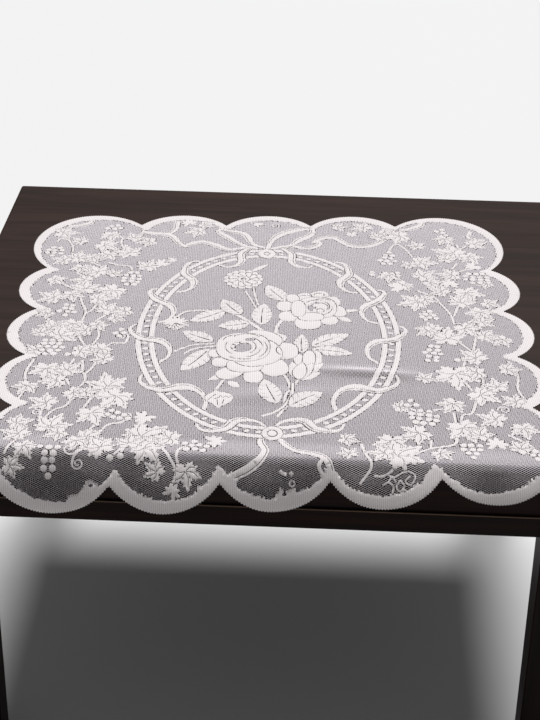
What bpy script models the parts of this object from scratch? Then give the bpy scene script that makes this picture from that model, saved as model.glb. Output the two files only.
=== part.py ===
"""A square lace cloth with a scalloped edge, laid a little turned on a plain wooden side table.

The cloth falls about 5 cm over the table's front edge. Metres, +Z up, -Y is the front.
The origin is on the floor, under the middle of the whole piece's box.
"""

import math

import bmesh
import bpy
from mathutils import Matrix, Vector
from mathutils.geometry import delaunay_2d_cdt

# The cut of the cloth, measured on the flat from its middle.
SCALLOP = 0.110  # from valley to valley along the front and the back
VALLEY_LINE = 0.274  # from the middle to the line of valleys, on every side
SIDE_VALLEY = 0.154  # from the middle to the last valley along the left and the right
SCALLOP_RISE = 0.029  # how far a scallop reaches past its valleys
SIDE_RISE = 0.027
LOBE_RISE = 0.083  # the same for the round lobe at each corner
LOBE_LEAN = 0.009  # how far a lobe's crown leans towards the front or the back
SCALLOPS_ON_A_SIDE = 3
BAND_WIDTH = 0.0135  # the close-woven border
WREATH_HALF_WIDTH = 0.150
WREATH_HALF_HEIGHT = 0.211
WREATH_BAND = 0.021
STEP_WIDTH = 0.001  # over which the close-woven work rises from the net

# Thickness of the cloth.
NET_THICK = 0.0012
BAND_THICK = 0.0017
WREATH_THICK = 0.0016

# The table.
TABLE_WIDTH = 0.72
TABLE_DEPTH = 0.62
TABLE_HEIGHT = 0.45
TOP_THICK = 0.024
TOP_ROUNDING = 0.003
LEG_TOP = 0.046
LEG_FOOT = 0.032
LEG_INSET = 0.020
RAIL_THICK = 0.018
RAIL_HEIGHT = 0.085
RAIL_INSET = 0.006  # from a leg's outer face to the rail's
BEAD_TOP = 0.057  # below the rail's top
BEAD_HEIGHT = 0.005
BEAD_REACH = 0.003
SMALL_ROUNDING = 0.0012
ROUNDING_STEPS = 3
CORNER_ANGLE = math.radians(40)  # a sharper edge than this is rounded
SMOOTH_ANGLE = math.radians(35)
JOINT_GAP = 0.0003

# How the cloth lies on the table, whose middle is at (0, 0) here.
CLOTH_TURN = math.radians(3.3)
CLOTH_X = 0.0
CLOTH_Y = -TABLE_DEPTH / 2 + 0.2435
REST_GAP = 0.0003
EDGE_LIFT = 0.0020  # the cloth rides a little high where it leaves the table
EDGE_LIFT_RUN = 0.030
BEND_START = -TABLE_DEPTH / 2 - 0.002
BEND_RADIUS = 0.011
BEND_ANGLE = math.radians(50)
BEND_ANGLE_SWING = math.radians(4)
SWING_LENGTH = 0.230
SWING_START = 0.6
DROOP_RADIUS = 0.160  # the gentler curve below the bend

# Soft waves along the part that hangs.
WAVE_RUN = 0.022  # how soon they grow below the table's edge
WAVES = (
    # length, height, start in radians
    (0.087, 0.0014, 1.1),
    (0.052, 0.0007, 2.1),
)

# Soft ridges in the cloth where it lies on the table.
RIDGES = (
    # middle x, middle y, half length, half width, turn in degrees, height
    (0.106, -0.146, 0.052, 0.0085, -3, 0.0024),
    (0.020, -0.195, 0.060, 0.0120, 6, 0.0012),
    (-0.205, -0.070, 0.045, 0.0110, 70, 0.0010),
    (0.195, 0.075, 0.060, 0.0120, 80, 0.0010),
)

# How finely the cloth is divided.
ARC_SAMPLE = 0.001
EDGE_SPACING = 0.0135
FOLD_SPACING = 0.0050
GRID_SPACING = 0.022
FOLD_GRID_SPACING = 0.015
FOLD_ROWS = (0.012, 0.004, 0.0, -0.0035, -0.0070, -0.0105, -0.017, -0.027, -0.039, -0.053)
FOLD_ZONE = (BEND_START - 0.016, BEND_START + 0.010)
RIDGE_POINT_SPACING = 0.014
CLEAR_OF_LOOPS = 0.0035
WREATH_POINTS = 56
FLAT_STEP = 0.0005


def material(name, colour, roughness, specular=0.5):
    made = bpy.data.materials.new(name)
    made.use_nodes = True
    shader = made.node_tree.nodes["Principled BSDF"]
    shader.inputs["Base Color"].default_value = (*colour, 1)
    shader.inputs["Roughness"].default_value = roughness
    shader.inputs["Metallic"].default_value = 0
    shader.inputs["Specular IOR Level"].default_value = specular
    return made


def smooth_step(t):
    t = min(1.0, max(0.0, t))
    return t * t * (3 - 2 * t)


def arc_through(start, end, rise):
    """(centre, radius, first angle, last angle) of an arc that bulges to the right on its way to the end."""
    start, end = Vector(start), Vector(end)
    chord = end - start
    outward = Vector((chord.y, -chord.x)).normalized()
    half = chord.length / 2
    radius = (half * half + rise * rise) / (2 * rise)
    centre = (start + end) / 2 + outward * (rise - radius)
    first = math.atan2(start.y - centre.y, start.x - centre.x)
    last = math.atan2(end.y - centre.y, end.x - centre.x)
    if last < first:
        last += 2 * math.pi
    return centre, radius, first, last


def valleys():
    """The valleys, anticlockwise from the front's left one, each with the rise of the arc after it."""
    found = []
    for side in range(4):
        turn = Matrix.Rotation(side * math.pi / 2, 2)
        upright = side % 2
        last_valley = SIDE_VALLEY if upright else SCALLOP * SCALLOPS_ON_A_SIDE / 2
        rise = SIDE_RISE if upright else SCALLOP_RISE
        for i in range(SCALLOPS_ON_A_SIDE + 1):
            along = last_valley * (2 * i / SCALLOPS_ON_A_SIDE - 1)
            corner_next = i == SCALLOPS_ON_A_SIDE
            found.append((turn @ Vector((along, -VALLEY_LINE)), LOBE_RISE if corner_next else rise))
    return found


def edge_arcs():
    points = valleys()
    return [arc_through(p, points[(i + 1) % len(points)][0], rise) for i, (p, rise) in enumerate(points)]


def leaned(point):
    """A point of the flat edge, moved with the corner's lobe that it lies on."""
    valley = Vector((SCALLOP * SCALLOPS_ON_A_SIDE / 2, VALLEY_LINE))
    chord = valley - Vector((VALLEY_LINE, SIDE_VALLEY))
    outward = Vector((chord.y, -chord.x)).normalized()
    height = max(0, (Vector((abs(point.x), abs(point.y))) - valley).dot(outward))
    shift = chord.normalized() * LOBE_LEAN * height / LOBE_RISE
    return point + Vector((math.copysign(1, point.x) * shift.x, math.copysign(1, point.y) * shift.y))


def laid(point):
    """A point of the flat cloth, turned and moved to where it lies, before it falls over the edge."""
    return Matrix.Rotation(CLOTH_TURN, 2) @ Vector(point) + Vector((CLOTH_X, CLOTH_Y))


def direction(angle):
    return Vector((math.cos(angle), math.sin(angle)))


def edge_samples(inset):
    """Close points of the flat outline, each with the way into the cloth, and which of them are valleys.

    A line that lies further in runs round the valley's own point.
    """
    arcs = edge_arcs()
    samples, corners = [], set()
    for i, (centre, radius, first, last) in enumerate(arcs):
        steps = math.ceil(radius * (last - first) / ARC_SAMPLE)
        angles = [first + (last - first) * k / steps for k in range(steps + 1)]
        samples += [(centre + direction(a) * radius, -direction(a)) for a in angles]
        if inset == 0:
            samples.pop()
            corners.add(len(samples))
            continue
        valley = centre + direction(last) * radius
        turn_back = (arcs[(i + 1) % len(arcs)][2] - last) % (2 * math.pi) - 2 * math.pi
        turns = math.ceil(abs(turn_back) * inset / ARC_SAMPLE)
        samples += [(valley, -direction(last + turn_back * k / turns)) for k in range(1, turns)]
    return samples, {c % len(samples) for c in corners}


def edge_loops(*insets):
    """Lines so far inside the outline, each of as many points, which lie closer where the cloth bends."""
    samples, corners = edge_samples(max(insets))
    lines = [[laid(leaned(p + way * inset)) for p, way in samples] for inset in insets]
    kept = thinned(lines[-1], corners)
    return [[line[k] for k in kept] for line in lines]


def thinned(line, corners):
    """The numbers of the line's points that are kept, its corners among them."""
    kept = [0]
    for k, p in enumerate(line):
        in_fold = FOLD_ZONE[0] < p.y < FOLD_ZONE[1]
        too_near = (p - line[kept[-1]]).length < (FOLD_SPACING if in_fold else EDGE_SPACING)
        if k in corners and too_near and kept[-1] not in corners:
            kept.pop()
        if k in corners or not too_near:
            kept.append(k)
    if (line[kept[-1]] - line[kept[0]]).length < FOLD_SPACING:
        kept.pop()
    return sorted(set(kept))


def wreath_loop(offset):
    """An oval that far outside the wreath's middle line."""
    middle = (WREATH_HALF_WIDTH - WREATH_BAND / 2, WREATH_HALF_HEIGHT - WREATH_BAND / 2)
    angles = [2 * math.pi * k / WREATH_POINTS for k in range(WREATH_POINTS)]
    return [laid(((middle[0] + offset) * math.cos(a), (middle[1] + offset) * math.sin(a))) for a in angles]


def grid_points():
    """Points across the cloth, in closer rows along the table's edge and the largest ridge."""
    reach = VALLEY_LINE + LOBE_RISE
    rows = []
    y = BEND_START + FOLD_ROWS[0] + GRID_SPACING
    while y < CLOTH_Y + reach:
        rows.append((y, GRID_SPACING))
        y += GRID_SPACING
    rows += [(BEND_START + offset, FOLD_GRID_SPACING) for offset in FOLD_ROWS]
    points = []
    for i, (y, spacing) in enumerate(rows):
        count = math.ceil(2 * reach / spacing)
        shift = spacing / 2 if i % 2 else 0
        points += [Vector((-reach + shift + k * spacing, y)) for k in range(count)]
    x, y, half_length, half_width = RIDGES[0][:4]
    for across in (-half_width, 0, half_width):
        count = math.ceil(2 * half_length / RIDGE_POINT_SPACING)
        start = x - half_length
        points += [Vector((start + k * RIDGE_POINT_SPACING, y + across)) for k in range(count + 1)]
    return points


def inside(point, loop):
    crossings = 0
    for a, b in zip(loop, loop[1:] + loop[:1]):
        if (a.y > point.y) != (b.y > point.y):
            crossings += point.x < a.x + (point.y - a.y) * (b.x - a.x) / (b.y - a.y)
    return crossings % 2 == 1


def distance_to_loop(point, loop):
    nearest = math.inf
    for a, b in zip(loop, loop[1:] + loop[:1]):
        along = b - a
        t = min(1.0, max(0.0, (point - a).dot(along) / along.length_squared))
        nearest = min(nearest, (point - a - along * t).length)
    return nearest


def bend_angle(x):
    return BEND_ANGLE + BEND_ANGLE_SWING * math.sin(2 * math.pi * x / SWING_LENGTH + SWING_START)


def ridge_height(x, y):
    height = 0.0
    for middle_x, middle_y, half_length, half_width, turn, peak in RIDGES:
        c, s = math.cos(math.radians(turn)), math.sin(math.radians(turn))
        along = (x - middle_x) * c + (y - middle_y) * s
        across = (y - middle_y) * c - (x - middle_x) * s
        height += peak * math.exp(-((along / half_length) ** 2) - (across / half_width) ** 2)
    return height


def wave_height(x):
    return sum(height * (1 + math.sin(2 * math.pi * x / length + start)) for length, height, start in WAVES)


def fallen(x, y, lift):
    """Where a point that far above the underside, over a point laid at (x, y), comes to lie."""
    past = BEND_START - y
    edge = (y - (BEND_START + EDGE_LIFT_RUN)) / -EDGE_LIFT_RUN
    rest = TABLE_HEIGHT + REST_GAP + EDGE_LIFT * smooth_step(edge)
    if past <= 0:
        return Vector((x, y, rest + lift))
    angle = bend_angle(x)
    bent = BEND_RADIUS * angle
    if past < bent:
        now = past / BEND_RADIUS
        forward = BEND_RADIUS * math.sin(now)
        down = BEND_RADIUS * (1 - math.cos(now))
    else:
        now = angle + (past - bent) / DROOP_RADIUS
        forward = BEND_RADIUS * math.sin(angle) + DROOP_RADIUS * (math.sin(now) - math.sin(angle))
        down = BEND_RADIUS * (1 - math.cos(angle)) + DROOP_RADIUS * (math.cos(angle) - math.cos(now))
    lift += wave_height(x) * (1 - math.exp(-((past / WAVE_RUN) ** 2)))
    return Vector((x, BEND_START - forward - lift * math.sin(now), rest - down + lift * math.cos(now)))


def draped(point, thickness):
    """The point of the cloth's upper face, that thick, over a point laid on the table."""
    x, y = point
    under = fallen(x, y, ridge_height(x, y))
    across = fallen(x + FLAT_STEP, y, ridge_height(x + FLAT_STEP, y)) - under
    along = fallen(x, y + FLAT_STEP, ridge_height(x, y + FLAT_STEP)) - under
    return under + across.cross(along).normalized() * thickness


def flat_cloth():
    """The cloth's points, its triangles, how many points make the outline, and each one's thickness."""
    (outline,) = edge_loops(0)
    band_top, band_foot = edge_loops(BAND_WIDTH - STEP_WIDTH, BAND_WIDTH)
    half = WREATH_BAND / 2
    wreath = [wreath_loop(offset) for offset in (half, half - STEP_WIDTH, STEP_WIDTH - half, -half)]
    loops = [outline, band_top, band_foot, *wreath]
    thick_at = (BAND_THICK, BAND_THICK, NET_THICK, NET_THICK, WREATH_THICK, WREATH_THICK, NET_THICK)
    points, edges, thickness = [], [], []
    for loop, thick in zip(loops, thick_at):
        first = len(points)
        points += loop
        thickness += [thick] * len(loop)
        edges += [(first + k, first + (k + 1) % len(loop)) for k in range(len(loop))]
    for p in grid_points():
        if inside(p, outline) and min(distance_to_loop(p, loop) for loop in loops) > CLEAR_OF_LOOPS:
            in_band = not inside(p, band_top)
            in_wreath = inside(p, wreath[1]) and not inside(p, wreath[2])
            points.append(p)
            thickness.append(BAND_THICK if in_band else WREATH_THICK if in_wreath else NET_THICK)
    made = delaunay_2d_cdt(points, edges, [], 1, 1e-7, True)
    if len(made[0]) != len(points):
        raise ValueError("two points of the cloth fell together")
    order = [ids[0] for ids in made[3]]
    triangles = [[order[k] for k in face] for face in made[2]]
    middles = [(points[a] + points[b] + points[c]) / 3 for a, b, c in triangles]
    kept = [face for face, middle in zip(triangles, middles) if inside(middle, outline)]
    return points, kept, len(outline), thickness


def make_cloth(look):
    points, triangles, edge_count, thickness = flat_cloth()
    mesh = bmesh.new()
    lower = [mesh.verts.new(draped(p, 0)) for p in points]
    upper = [mesh.verts.new(draped(p, thick)) for p, thick in zip(points, thickness)]
    for a, b, c in triangles:
        mesh.faces.new((upper[a], upper[b], upper[c]))
        mesh.faces.new((lower[c], lower[b], lower[a]))
    for k in range(edge_count):
        after = (k + 1) % edge_count
        mesh.faces.new((upper[after], upper[k], lower[k], lower[after]))
    bmesh.ops.recalc_face_normals(mesh, faces=mesh.faces)
    return finished("tablecloth", mesh, look)


def finished(name, mesh, look, location=(0, 0, 0)):
    data = bpy.data.meshes.new(name)
    mesh.to_mesh(data)
    mesh.free()
    data.materials.append(look)
    made = bpy.data.objects.new(name, data)
    made.location = location
    bpy.context.scene.collection.objects.link(made)
    data.shade_smooth()
    data.set_sharp_from_angle(angle=SMOOTH_ANGLE)
    return made


def add_rounding(piece, width):
    bevel = piece.modifiers.new("rounding", "BEVEL")
    bevel.width = width
    bevel.segments = ROUNDING_STEPS
    bevel.limit_method = "ANGLE"
    bevel.angle_limit = CORNER_ANGLE


def make_block(name, size, location, look, rounding):
    mesh = bmesh.new()
    bmesh.ops.create_cube(mesh, size=1)
    bmesh.ops.scale(mesh, vec=size, verts=mesh.verts)
    piece = finished(name, mesh, look, location)
    add_rounding(piece, rounding)
    return piece


def make_leg(name, location, look):
    """A square leg that tapers to its foot. Its origin is at the top."""
    length = TABLE_HEIGHT - TOP_THICK - JOINT_GAP
    mesh = bmesh.new()
    bmesh.ops.create_cube(mesh, size=1)
    for v in mesh.verts:
        at_top = v.co.z > 0
        width = LEG_TOP if at_top else LEG_FOOT
        v.co = (v.co.x * width, v.co.y * width, 0 if at_top else -length)
    piece = finished(name, mesh, look, location)
    add_rounding(piece, SMALL_ROUNDING)
    return piece


def make_rail(name, length, location, turn, look):
    """A rail with a small bead along its front. Its origin is at the top of its back face."""
    profile = (
        (0, 0),
        (-RAIL_THICK, 0),
        (-RAIL_THICK, -BEAD_TOP),
        (-RAIL_THICK - BEAD_REACH, -BEAD_TOP),
        (-RAIL_THICK - BEAD_REACH, -BEAD_TOP - BEAD_HEIGHT),
        (-RAIL_THICK, -BEAD_TOP - BEAD_HEIGHT),
        (-RAIL_THICK, -RAIL_HEIGHT),
        (0, -RAIL_HEIGHT),
    )
    mesh = bmesh.new()
    end = [mesh.verts.new((-length / 2, y, z)) for y, z in profile]
    face = mesh.faces.new(end)
    grown = bmesh.ops.extrude_face_region(mesh, geom=[face])
    moved = [item for item in grown["geom"] if isinstance(item, bmesh.types.BMVert)]
    bmesh.ops.translate(mesh, vec=(length, 0, 0), verts=moved)
    bmesh.ops.recalc_face_normals(mesh, faces=mesh.faces)
    piece = finished(name, mesh, look, location)
    piece.rotation_euler.z = turn
    add_rounding(piece, SMALL_ROUNDING / 2)
    return piece


def make_table(top_look, frame_look):
    under_top = TABLE_HEIGHT - TOP_THICK
    size = (TABLE_WIDTH, TABLE_DEPTH, TOP_THICK)
    pieces = [make_block("table_top", size, (0, 0, TABLE_HEIGHT - TOP_THICK / 2), top_look, TOP_ROUNDING)]
    leg_x = TABLE_WIDTH / 2 - LEG_INSET - LEG_TOP / 2
    leg_y = TABLE_DEPTH / 2 - LEG_INSET - LEG_TOP / 2
    for across, side in ((-1, "left"), (1, "right")):
        for along, end in ((-1, "front"), (1, "back")):
            place = (across * leg_x, along * leg_y, under_top - JOINT_GAP)
            pieces.append(make_leg(f"leg_{end}_{side}", place, frame_look))
    back_face = LEG_TOP / 2 - RAIL_INSET - RAIL_THICK
    across_rail = 2 * leg_x - LEG_TOP - 2 * JOINT_GAP
    along_rail = 2 * leg_y - LEG_TOP - 2 * JOINT_GAP
    rails = (
        ("rail_front", across_rail, (0, -leg_y - back_face), 0),
        ("rail_right", along_rail, (leg_x + back_face, 0), math.pi / 2),
        ("rail_back", across_rail, (0, leg_y + back_face), math.pi),
        ("rail_left", along_rail, (-leg_x - back_face, 0), -math.pi / 2),
    )
    for name, length, (x, y), turn in rails:
        pieces.append(make_rail(name, length, (x, y, under_top - JOINT_GAP), turn, frame_look))
    return pieces


def main():
    for old in list(bpy.data.objects):
        bpy.data.objects.remove(old)
    lace = material("white_lace", (0.86, 0.85, 0.87), 0.85, 0.25)
    top = material("dark_wood_top", (0.040, 0.028, 0.024), 0.35)
    frame = material("dark_wood_frame", (0.030, 0.016, 0.012), 0.40)
    cloth = make_cloth(lace)
    pieces = [cloth, *make_table(top, frame)]
    front = min(v.co.y for v in cloth.data.vertices)
    to_middle = -(front + TABLE_DEPTH / 2) / 2
    for piece in pieces:
        piece.location.y += to_middle


main()
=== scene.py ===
"""The looks of a square lace cloth on a dark wooden side table.

The lace is drawn flat, in millimetres from the cloth's middle, x to the right and y to the back.
Every piece of it is then laid on the table and over its edge by the fold that the solid cloth has.
"""

import math

import bpy
import numpy as np
from mathutils import Euler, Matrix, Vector
from mathutils.geometry import delaunay_2d_cdt


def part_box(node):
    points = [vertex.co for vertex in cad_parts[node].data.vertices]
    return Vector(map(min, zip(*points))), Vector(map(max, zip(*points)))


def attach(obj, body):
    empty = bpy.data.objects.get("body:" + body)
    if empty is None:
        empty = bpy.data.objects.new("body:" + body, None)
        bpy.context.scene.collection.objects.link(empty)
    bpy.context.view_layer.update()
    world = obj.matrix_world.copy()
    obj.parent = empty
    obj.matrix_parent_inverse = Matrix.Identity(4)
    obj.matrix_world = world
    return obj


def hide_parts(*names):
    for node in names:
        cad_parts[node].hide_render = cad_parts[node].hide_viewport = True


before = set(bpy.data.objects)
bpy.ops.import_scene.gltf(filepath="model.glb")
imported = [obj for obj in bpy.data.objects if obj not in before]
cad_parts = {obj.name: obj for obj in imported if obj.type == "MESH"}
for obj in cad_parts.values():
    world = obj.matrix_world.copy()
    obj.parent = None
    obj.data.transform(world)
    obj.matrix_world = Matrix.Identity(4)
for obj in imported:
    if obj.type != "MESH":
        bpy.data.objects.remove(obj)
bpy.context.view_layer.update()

# The cut of the cloth, in millimetres.
SCALLOP = 110.0  # from valley to valley of the front and the back
SCALLOPS_ON_A_SIDE = 3
VALLEY_LINE = 274.0  # from the middle out to the line of each side's valleys
FRONT_VALLEY = SCALLOP * SCALLOPS_ON_A_SIDE / 2  # from the side's middle along to its last valley
SIDE_VALLEY = 154.0  # the same on the left and the right
SCALLOP_RISE = 29.0  # how far a scallop stands out past its valleys
SIDE_RISE = 27.0
LOBE_RISE = 83.0
LOBE_LEAN = 9.0  # how far the crown of a corner's lobe leans to the front or the back
CLOTH_SIZE = 606.0
BAND_WIDTH = 13.5
PEAK_SHARE = 1.16  # the band's width over a valley, as a share of its width elsewhere

# How the cloth lies, in metres, from the middle of the table.
MM = 0.001
table_low, table_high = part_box("table_top")
TABLE_HEIGHT = table_high[2]
TABLE_FRONT = -(table_high[1] - table_low[1]) / 2
TABLE_MIDDLE_Y = (table_low[1] + table_high[1]) / 2
CLOTH_TURN = math.radians(3.3)
CLOTH_INSET = 0.2435  # of the cloth's middle, behind the table's front edge
CLOTH_Y = TABLE_FRONT + CLOTH_INSET
REST_GAP = 0.0003
EDGE_LIFT = 0.0020  # how much higher the cloth rides as it nears the edge that it falls over
EDGE_LIFT_RUN = 0.030
BEND_GAP = 0.002
BEND_START = TABLE_FRONT - BEND_GAP
BEND_RADIUS = 0.011
BEND_ANGLE = math.radians(50)
BEND_ANGLE_SWING = math.radians(4)
SWING_LENGTH = 0.230
SWING_START = 0.6
DROOP_RADIUS = 0.160  # of the slow curve below the bend
WAVE_RUN = 0.022  # the waves grow to their full height over this much of the fall
WAVES = (
    # length, height, start in radians
    (0.087, 0.0014, 1.1),
    (0.052, 0.0007, 2.1),
)
RIDGES = (
    # middle x, middle y, half length, half width, turn in degrees, height
    (0.106, -0.146, 0.052, 0.0085, -3, 0.0024),
    (0.020, -0.195, 0.060, 0.0120, 6, 0.0012),
    (-0.205, -0.070, 0.045, 0.0110, 70, 0.0010),
    (0.195, 0.075, 0.060, 0.0120, 80, 0.0010),
)
FLAT_STEP = 0.0005  # between the places that give the cloth's slope

# The net, in millimetres.
COLUMN = 2.07
ROW = 2.10
RIB_WIDTH = 0.56
RIB_HEIGHT = 0.56
CROSSING_WIDTH = 0.66
CROSSING_HEIGHT = 0.56
THREAD_UPRIGHT = 0.8  # how far a thread's normals turn from its own faces to the cloth's
NET_LIFT = 0.10
HOLE_EDGE = 0.15  # no crossing thread lies nearer than this to close-woven work
RIB_ROWS = (
    # from, to, step
    (-303.0, -219.0, 4.0),
    (-219.0, -126.0, 15.5),
    (-126.0, -56.0, 7.0),
    (-56.0, 303.0, 15.0),
)

# The close-woven work, in millimetres.
WOVEN_EDGE_LIFT = 0.50
WOVEN_LIFT = 0.80
OPEN_LINE = 1.0
FINE_SPACING = 3.0  # of its points, where the cloth bends over the table's edge
COARSE_SPACING = 6.4
FOLD_BELOW = -219.0
WREATH_MIDDLE = -3.5
WREATH_HALF_WIDTH = 150.5
WREATH_HALF_HEIGHT = 209.5
WREATH_DROP = 3.4
WREATH_RAIL = 5.9
WREATH_CHANNEL = 9.2


# Laying the flat lace on the table


def bend_angle(x):
    return BEND_ANGLE + BEND_ANGLE_SWING * np.sin(2 * math.pi * x / SWING_LENGTH + SWING_START)


def wave_height(x):
    swings = [height * (1 + np.sin(2 * math.pi * x / length + start)) for length, height, start in WAVES]
    return sum(swings)


def ridge_height(x, y):
    height = np.zeros_like(x)
    for middle_x, middle_y, half_length, half_width, turn, peak in RIDGES:
        c, s = math.cos(math.radians(turn)), math.sin(math.radians(turn))
        along = (x - middle_x) * c + (y - middle_y) * s
        across = (y - middle_y) * c - (x - middle_x) * s
        height += peak * np.exp(-((along / half_length) ** 2) - (across / half_width) ** 2)
    return height


def fallen(x, y, lift):
    """Where points that far above the cloth's underside, over points laid at (x, y), come to lie."""
    past = np.maximum(BEND_START - y, 0)
    edge = np.clip((y - (BEND_START + EDGE_LIFT_RUN)) / -EDGE_LIFT_RUN, 0, 1)
    rest = TABLE_HEIGHT + REST_GAP + EDGE_LIFT * edge * edge * (3 - 2 * edge)
    angle = bend_angle(x)
    bent = BEND_RADIUS * angle
    in_bend = past < bent
    now = np.where(in_bend, past / BEND_RADIUS, angle + (past - bent) / DROOP_RADIUS)
    sine, cosine = np.sin(now), np.cos(now)
    forward = BEND_RADIUS * np.sin(angle) + DROOP_RADIUS * (sine - np.sin(angle))
    forward = np.where(in_bend, BEND_RADIUS * sine, forward)
    down = BEND_RADIUS * (1 - np.cos(angle)) + DROOP_RADIUS * (np.cos(angle) - cosine)
    down = np.where(in_bend, BEND_RADIUS * (1 - cosine), down)
    lift = lift + wave_height(x) * (1 - np.exp(-((past / WAVE_RUN) ** 2)))
    start = np.maximum(y, BEND_START)
    return np.stack((x, start - forward - lift * sine, rest - down + lift * cosine), 1)


def laid(flat):
    """Where points of the flat lace (x, y and lift) come to lie, and the way out of the cloth there."""
    c, s = math.cos(CLOTH_TURN), math.sin(CLOTH_TURN)
    x = (flat[:, 0] * c - flat[:, 1] * s) * MM
    y = (flat[:, 0] * s + flat[:, 1] * c) * MM + CLOTH_Y
    under = fallen(x, y, ridge_height(x, y))
    across = fallen(x + FLAT_STEP, y, ridge_height(x + FLAT_STEP, y)) - under
    along = fallen(x, y + FLAT_STEP, ridge_height(x, y + FLAT_STEP)) - under
    outward = np.cross(across, along)
    outward /= np.linalg.norm(outward, axis=1)[:, None]
    return under + outward * flat[:, 2:] * MM + (0, TABLE_MIDDLE_Y, 0), outward


def lay(mesh, upright=0.0):
    """Moves a flat mesh, in millimetres, to where it lies, and keeps its flat place as its UV map.

    Upright is how far its shading turns from its own faces to the cloth's, so that threads shade
    like woven work.
    """
    flat = np.empty(len(mesh.vertices) * 3)
    mesh.vertices.foreach_get("co", flat)
    flat = flat.reshape(-1, 3)
    corners = np.empty(len(mesh.loops), int)
    mesh.loops.foreach_get("vertex_index", corners)
    for old in list(mesh.uv_layers):
        mesh.uv_layers.remove(old)
    flat_map = mesh.uv_layers.new(name="flat")
    flat_map.data.foreach_set("uv", (flat[corners, :2] / CLOTH_SIZE + 0.5).astype(np.float32).ravel())
    places, outward = laid(flat)
    mesh.vertices.foreach_set("co", places.astype(np.float32).ravel())
    mesh.update()
    mesh.shade_smooth()
    if upright:
        own = np.empty(len(mesh.vertices) * 3, np.float32)
        mesh.vertex_normals.foreach_get("vector", own)
        turned = own.reshape(-1, 3) * (1 - upright) + outward * upright
        mesh.normals_split_custom_set_from_vertices(turned / np.linalg.norm(turned, axis=1)[:, None])


def piece(name, mesh):
    made = bpy.data.objects.new(name, mesh)
    bpy.context.scene.collection.objects.link(made)
    return made


def mesh_of(name, points, faces):
    mesh = bpy.data.meshes.new(name)
    places = [tuple(map(float, point)) for point in points]
    mesh.from_pydata(places, [], [tuple(map(int, face)) for face in faces])
    return mesh


def flat_mesh_of(name, points, faces, lift=0.0):
    """A mesh of (x, y) points, all at one lift or each at its own."""
    lifts = np.broadcast_to(lift, len(points))
    return mesh_of(name, np.column_stack((points, lifts)), faces)


# Outlines, in millimetres


def direction(degrees):
    return np.array((math.cos(math.radians(degrees)), math.sin(math.radians(degrees))))


def placed(points, place, turn=0.0, size=1.0):
    """Points turned by degrees, scaled, and moved to a place."""
    c, s = direction(turn)
    points = np.asarray(points, float) * size
    return points @ np.array(((c, s), (-s, c))) + place


def mirrored(points):
    """(x, y) or (x, y, width) points on the other side of the cloth's middle line."""
    return [(-point[0], *point[1:]) for point in points]


def outward_of(start, end):
    """The way to the right of a chord, which is out of the cloth for one of its edge."""
    chord = end - start
    return np.array((chord[1], -chord[0])) / np.linalg.norm(chord)


def arc_points(start, end, rise, step):
    """Points along an arc that bulges to the right on its way from start to end, without its end."""
    half = np.linalg.norm(end - start) / 2
    radius = (half * half + rise * rise) / (2 * rise)
    centre = (start + end) / 2 + outward_of(start, end) * (rise - radius)
    first = math.atan2(*(start - centre)[::-1])
    last = math.atan2(*(end - centre)[::-1])
    if last < first:
        last += 2 * math.pi
    count = math.ceil(radius * (last - first) / step)
    angles = first + (last - first) * np.arange(count) / count
    return centre + radius * np.stack((np.cos(angles), np.sin(angles)), 1)


def edge_valleys():
    """The edge's valleys, anticlockwise from the front's left one, and the rise of the arc after each."""
    valleys, rises = [], []
    for side in range(4):
        last_valley, rise = (SIDE_VALLEY, SIDE_RISE) if side % 2 else (FRONT_VALLEY, SCALLOP_RISE)
        for i in range(SCALLOPS_ON_A_SIDE + 1):
            along = last_valley * (2 * i / SCALLOPS_ON_A_SIDE - 1)
            valleys.append(placed([(along, -VALLEY_LINE)], (0, 0), 90 * side)[0])
        rises += [rise] * SCALLOPS_ON_A_SIDE + [LOBE_RISE]
    return valleys, rises


def edge_peaks(inset):
    """Where the line that far inside the cloth's edge comes to a point over each valley."""
    valleys, _ = edge_valleys()
    peaks = []
    for before, here, after in zip(valleys[-1:] + valleys[:-1], valleys, valleys[1:] + valleys[:1]):
        inward = -outward_of(before, here) - outward_of(here, after)
        peaks.append(here + inward / np.linalg.norm(inward) * inset * PEAK_SHARE)
    return peaks


def leaned(points):
    """Points of the edge, moved with the corner's lobe that they lie on."""
    valley = np.array((FRONT_VALLEY, VALLEY_LINE))
    chord = valley - (VALLEY_LINE, SIDE_VALLEY)
    chord /= np.linalg.norm(chord)
    height = np.maximum(0, (np.abs(points) - valley) @ (chord[1], -chord[0]))
    return points + np.sign(points) * chord * (LOBE_LEAN * height / LOBE_RISE)[:, None]


def edge_line(step, inset=0.0):
    """The cloth's outline, or the scalloped line that far inside it."""
    valleys, rises = edge_valleys()
    peaks = edge_peaks(inset)
    line = []
    for i, rise in enumerate(rises):
        following = (i + 1) % len(rises)
        start, end = valleys[i], valleys[following]
        crown = (start + end) / 2 + outward_of(start, end) * (rise - inset)
        start, end = peaks[i], peaks[following]
        inner_rise = float((crown - (start + end) / 2) @ outward_of(start, end))
        line.append(arc_points(start, end, inner_rise, step))
    return leaned(np.concatenate(line))


def oval(half_width, half_height, count):
    angles = 2 * math.pi * np.arange(count) / count
    return np.stack((half_width * np.cos(angles), half_height * np.sin(angles)), 1)


SQUARENESS = 2.5  # of a petal: 2 is an oval


def blob(width, height, count=30):
    """A rounded petal, a little squarer than an oval."""
    angles = 2 * math.pi * np.arange(count) / count
    c, s = np.cos(angles), np.sin(angles)
    reach = (np.abs(c) ** SQUARENESS + np.abs(s) ** SQUARENESS) ** (-1 / SQUARENESS)
    return np.stack((width / 2 * c * reach, height / 2 * s * reach), 1)


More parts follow.
